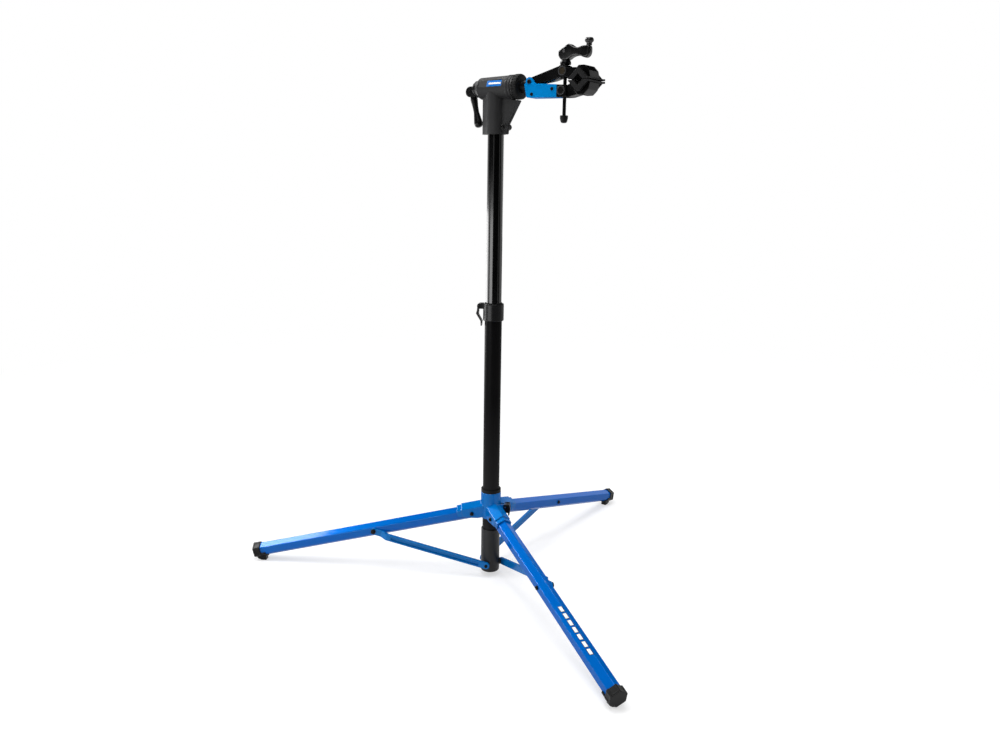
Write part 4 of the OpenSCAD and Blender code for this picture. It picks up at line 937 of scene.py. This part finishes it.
# %% [markdown]
# ## Painted marks
# The head carries a small blue plate with one pale bar, and the front leg a row of slanted pale bars
# with dark rims near its foot. A mask in the material could paint them, but its edge is only as crisp
# as the picture it is baked to. A thin slab with a rounded outline, laid on its face and sunk a little
# into it, stays crisp and never flickers against the metal below.

# %% Plates and bars
plate_thick, paint_thick, sunk = 0.0004, 0.0002, 0.0002


def slab_on(at, right, upward, size, thick, corner=0.0008, slant=0.0):
    """A thin rounded plate: its outline is a rounded rectangle, x leaning by slant times y, on rings that
    rise through thick from a little below the face and draw in a little at the top."""
    right, upward = np.array(right, float), np.array(upward, float)
    out = np.cross(right, upward)
    half = np.array(size) / 2 - corner
    outline = np.stack([np.sign(np.cos(TURN + 1e-6)), np.sign(np.sin(TURN + 1e-6))], 1) * half
    ring = outline + corner * np.stack([np.cos(TURN), np.sin(TURN)], 1)
    ring[:, 0] += slant * ring[:, 1]
    stack = [(1.0, -sunk), (1.0, thick * 0.7), (0.985, thick)]
    flat = ring[:, :1] * right + ring[:, 1:] * upward
    return skin(np.stack([np.array(at) + share * flat + lift * out for share, lift in stack]))


mark_white = finish(
    "mark_white", (0.80, 0.81, 0.82), (0.74, 0.75, 0.76), (0.45, 0.46, 0.47),
    gloss=0.4, amount=0.2, size=1200.0, depth=0.000008, edge=0.0001)
mark_edge = finish(
    "mark_edge", (0.006, 0.007, 0.010), (0.009, 0.010, 0.013), (0.04, 0.05, 0.07),
    gloss=0.4, amount=0.2, size=1200.0, depth=0.000008, shine=0.2, edge=0.0001)
plate_blue = finish(
    "plate_blue", (0.001, 0.140, 0.520), (0.002, 0.150, 0.500), (0.08, 0.28, 0.60),
    gloss=0.5, amount=0.15, size=1200.0, depth=0.000006, shine=0.05, edge=0.0001)
print("paints of the marks made")

# %% Plate on the head
clamp_z = joints["clamp_turn"]["pos_m"][2]
plate_tilt, plate_x, from_axis = radians(20), 0.0135, 0.028
plate_out = np.array([0, -cos(plate_tilt), sin(plate_tilt)])
plate_up = np.array([0, sin(plate_tilt), cos(plate_tilt)])
plate_at = np.array([plate_x, 0, clamp_z]) + plate_out * from_axis
plate = slab_on(plate_at, (1, 0, 0), plate_up, (0.053, 0.0165), plate_thick, corner=0.0012)
bar = slab_on(plate_at + plate_out * plate_thick, (1, 0, 0), plate_up, (0.040, 0.005), paint_thick)
piece("head_plate", [plate], "head", plate_blue, "arm_blue")
piece("head_plate_bar", [bar], "head", mark_white, "arm_blue")
print("plate at", np.round(plate_at, 4))

# %% Bars on the front leg
hexagon_turn, off_face, bar_lift, lean = radians(30), 0.0001, 0.0052, 0.45
rim_size, bar_size = (0.0215, 0.0106), (0.0185, 0.0080)
pivot, along, across, upward = leg_axes["front"]
face_up = across * cos(hexagon_turn) + upward * sin(hexagon_turn)
face_out = upward * cos(hexagon_turn) - across * sin(hexagon_turn)
middle = pivot + face_out * (leg_half + off_face)
marks, rims = [], []
for down_leg in np.linspace(0.430, 0.585, 7):
    at = middle + along * down_leg + face_up * bar_lift
    on_rim = at + face_out * paint_thick
    rims.append(slab_on(at, along, face_up, rim_size, paint_thick, slant=lean))
    marks.append(slab_on(on_rim, along, face_up, bar_size, paint_thick, corner=0.0006, slant=lean))
piece("front_leg_rims", rims, "front_leg", mark_edge, "leg_blue")
piece("front_leg_bars", marks, "front_leg", mark_white, "leg_blue")
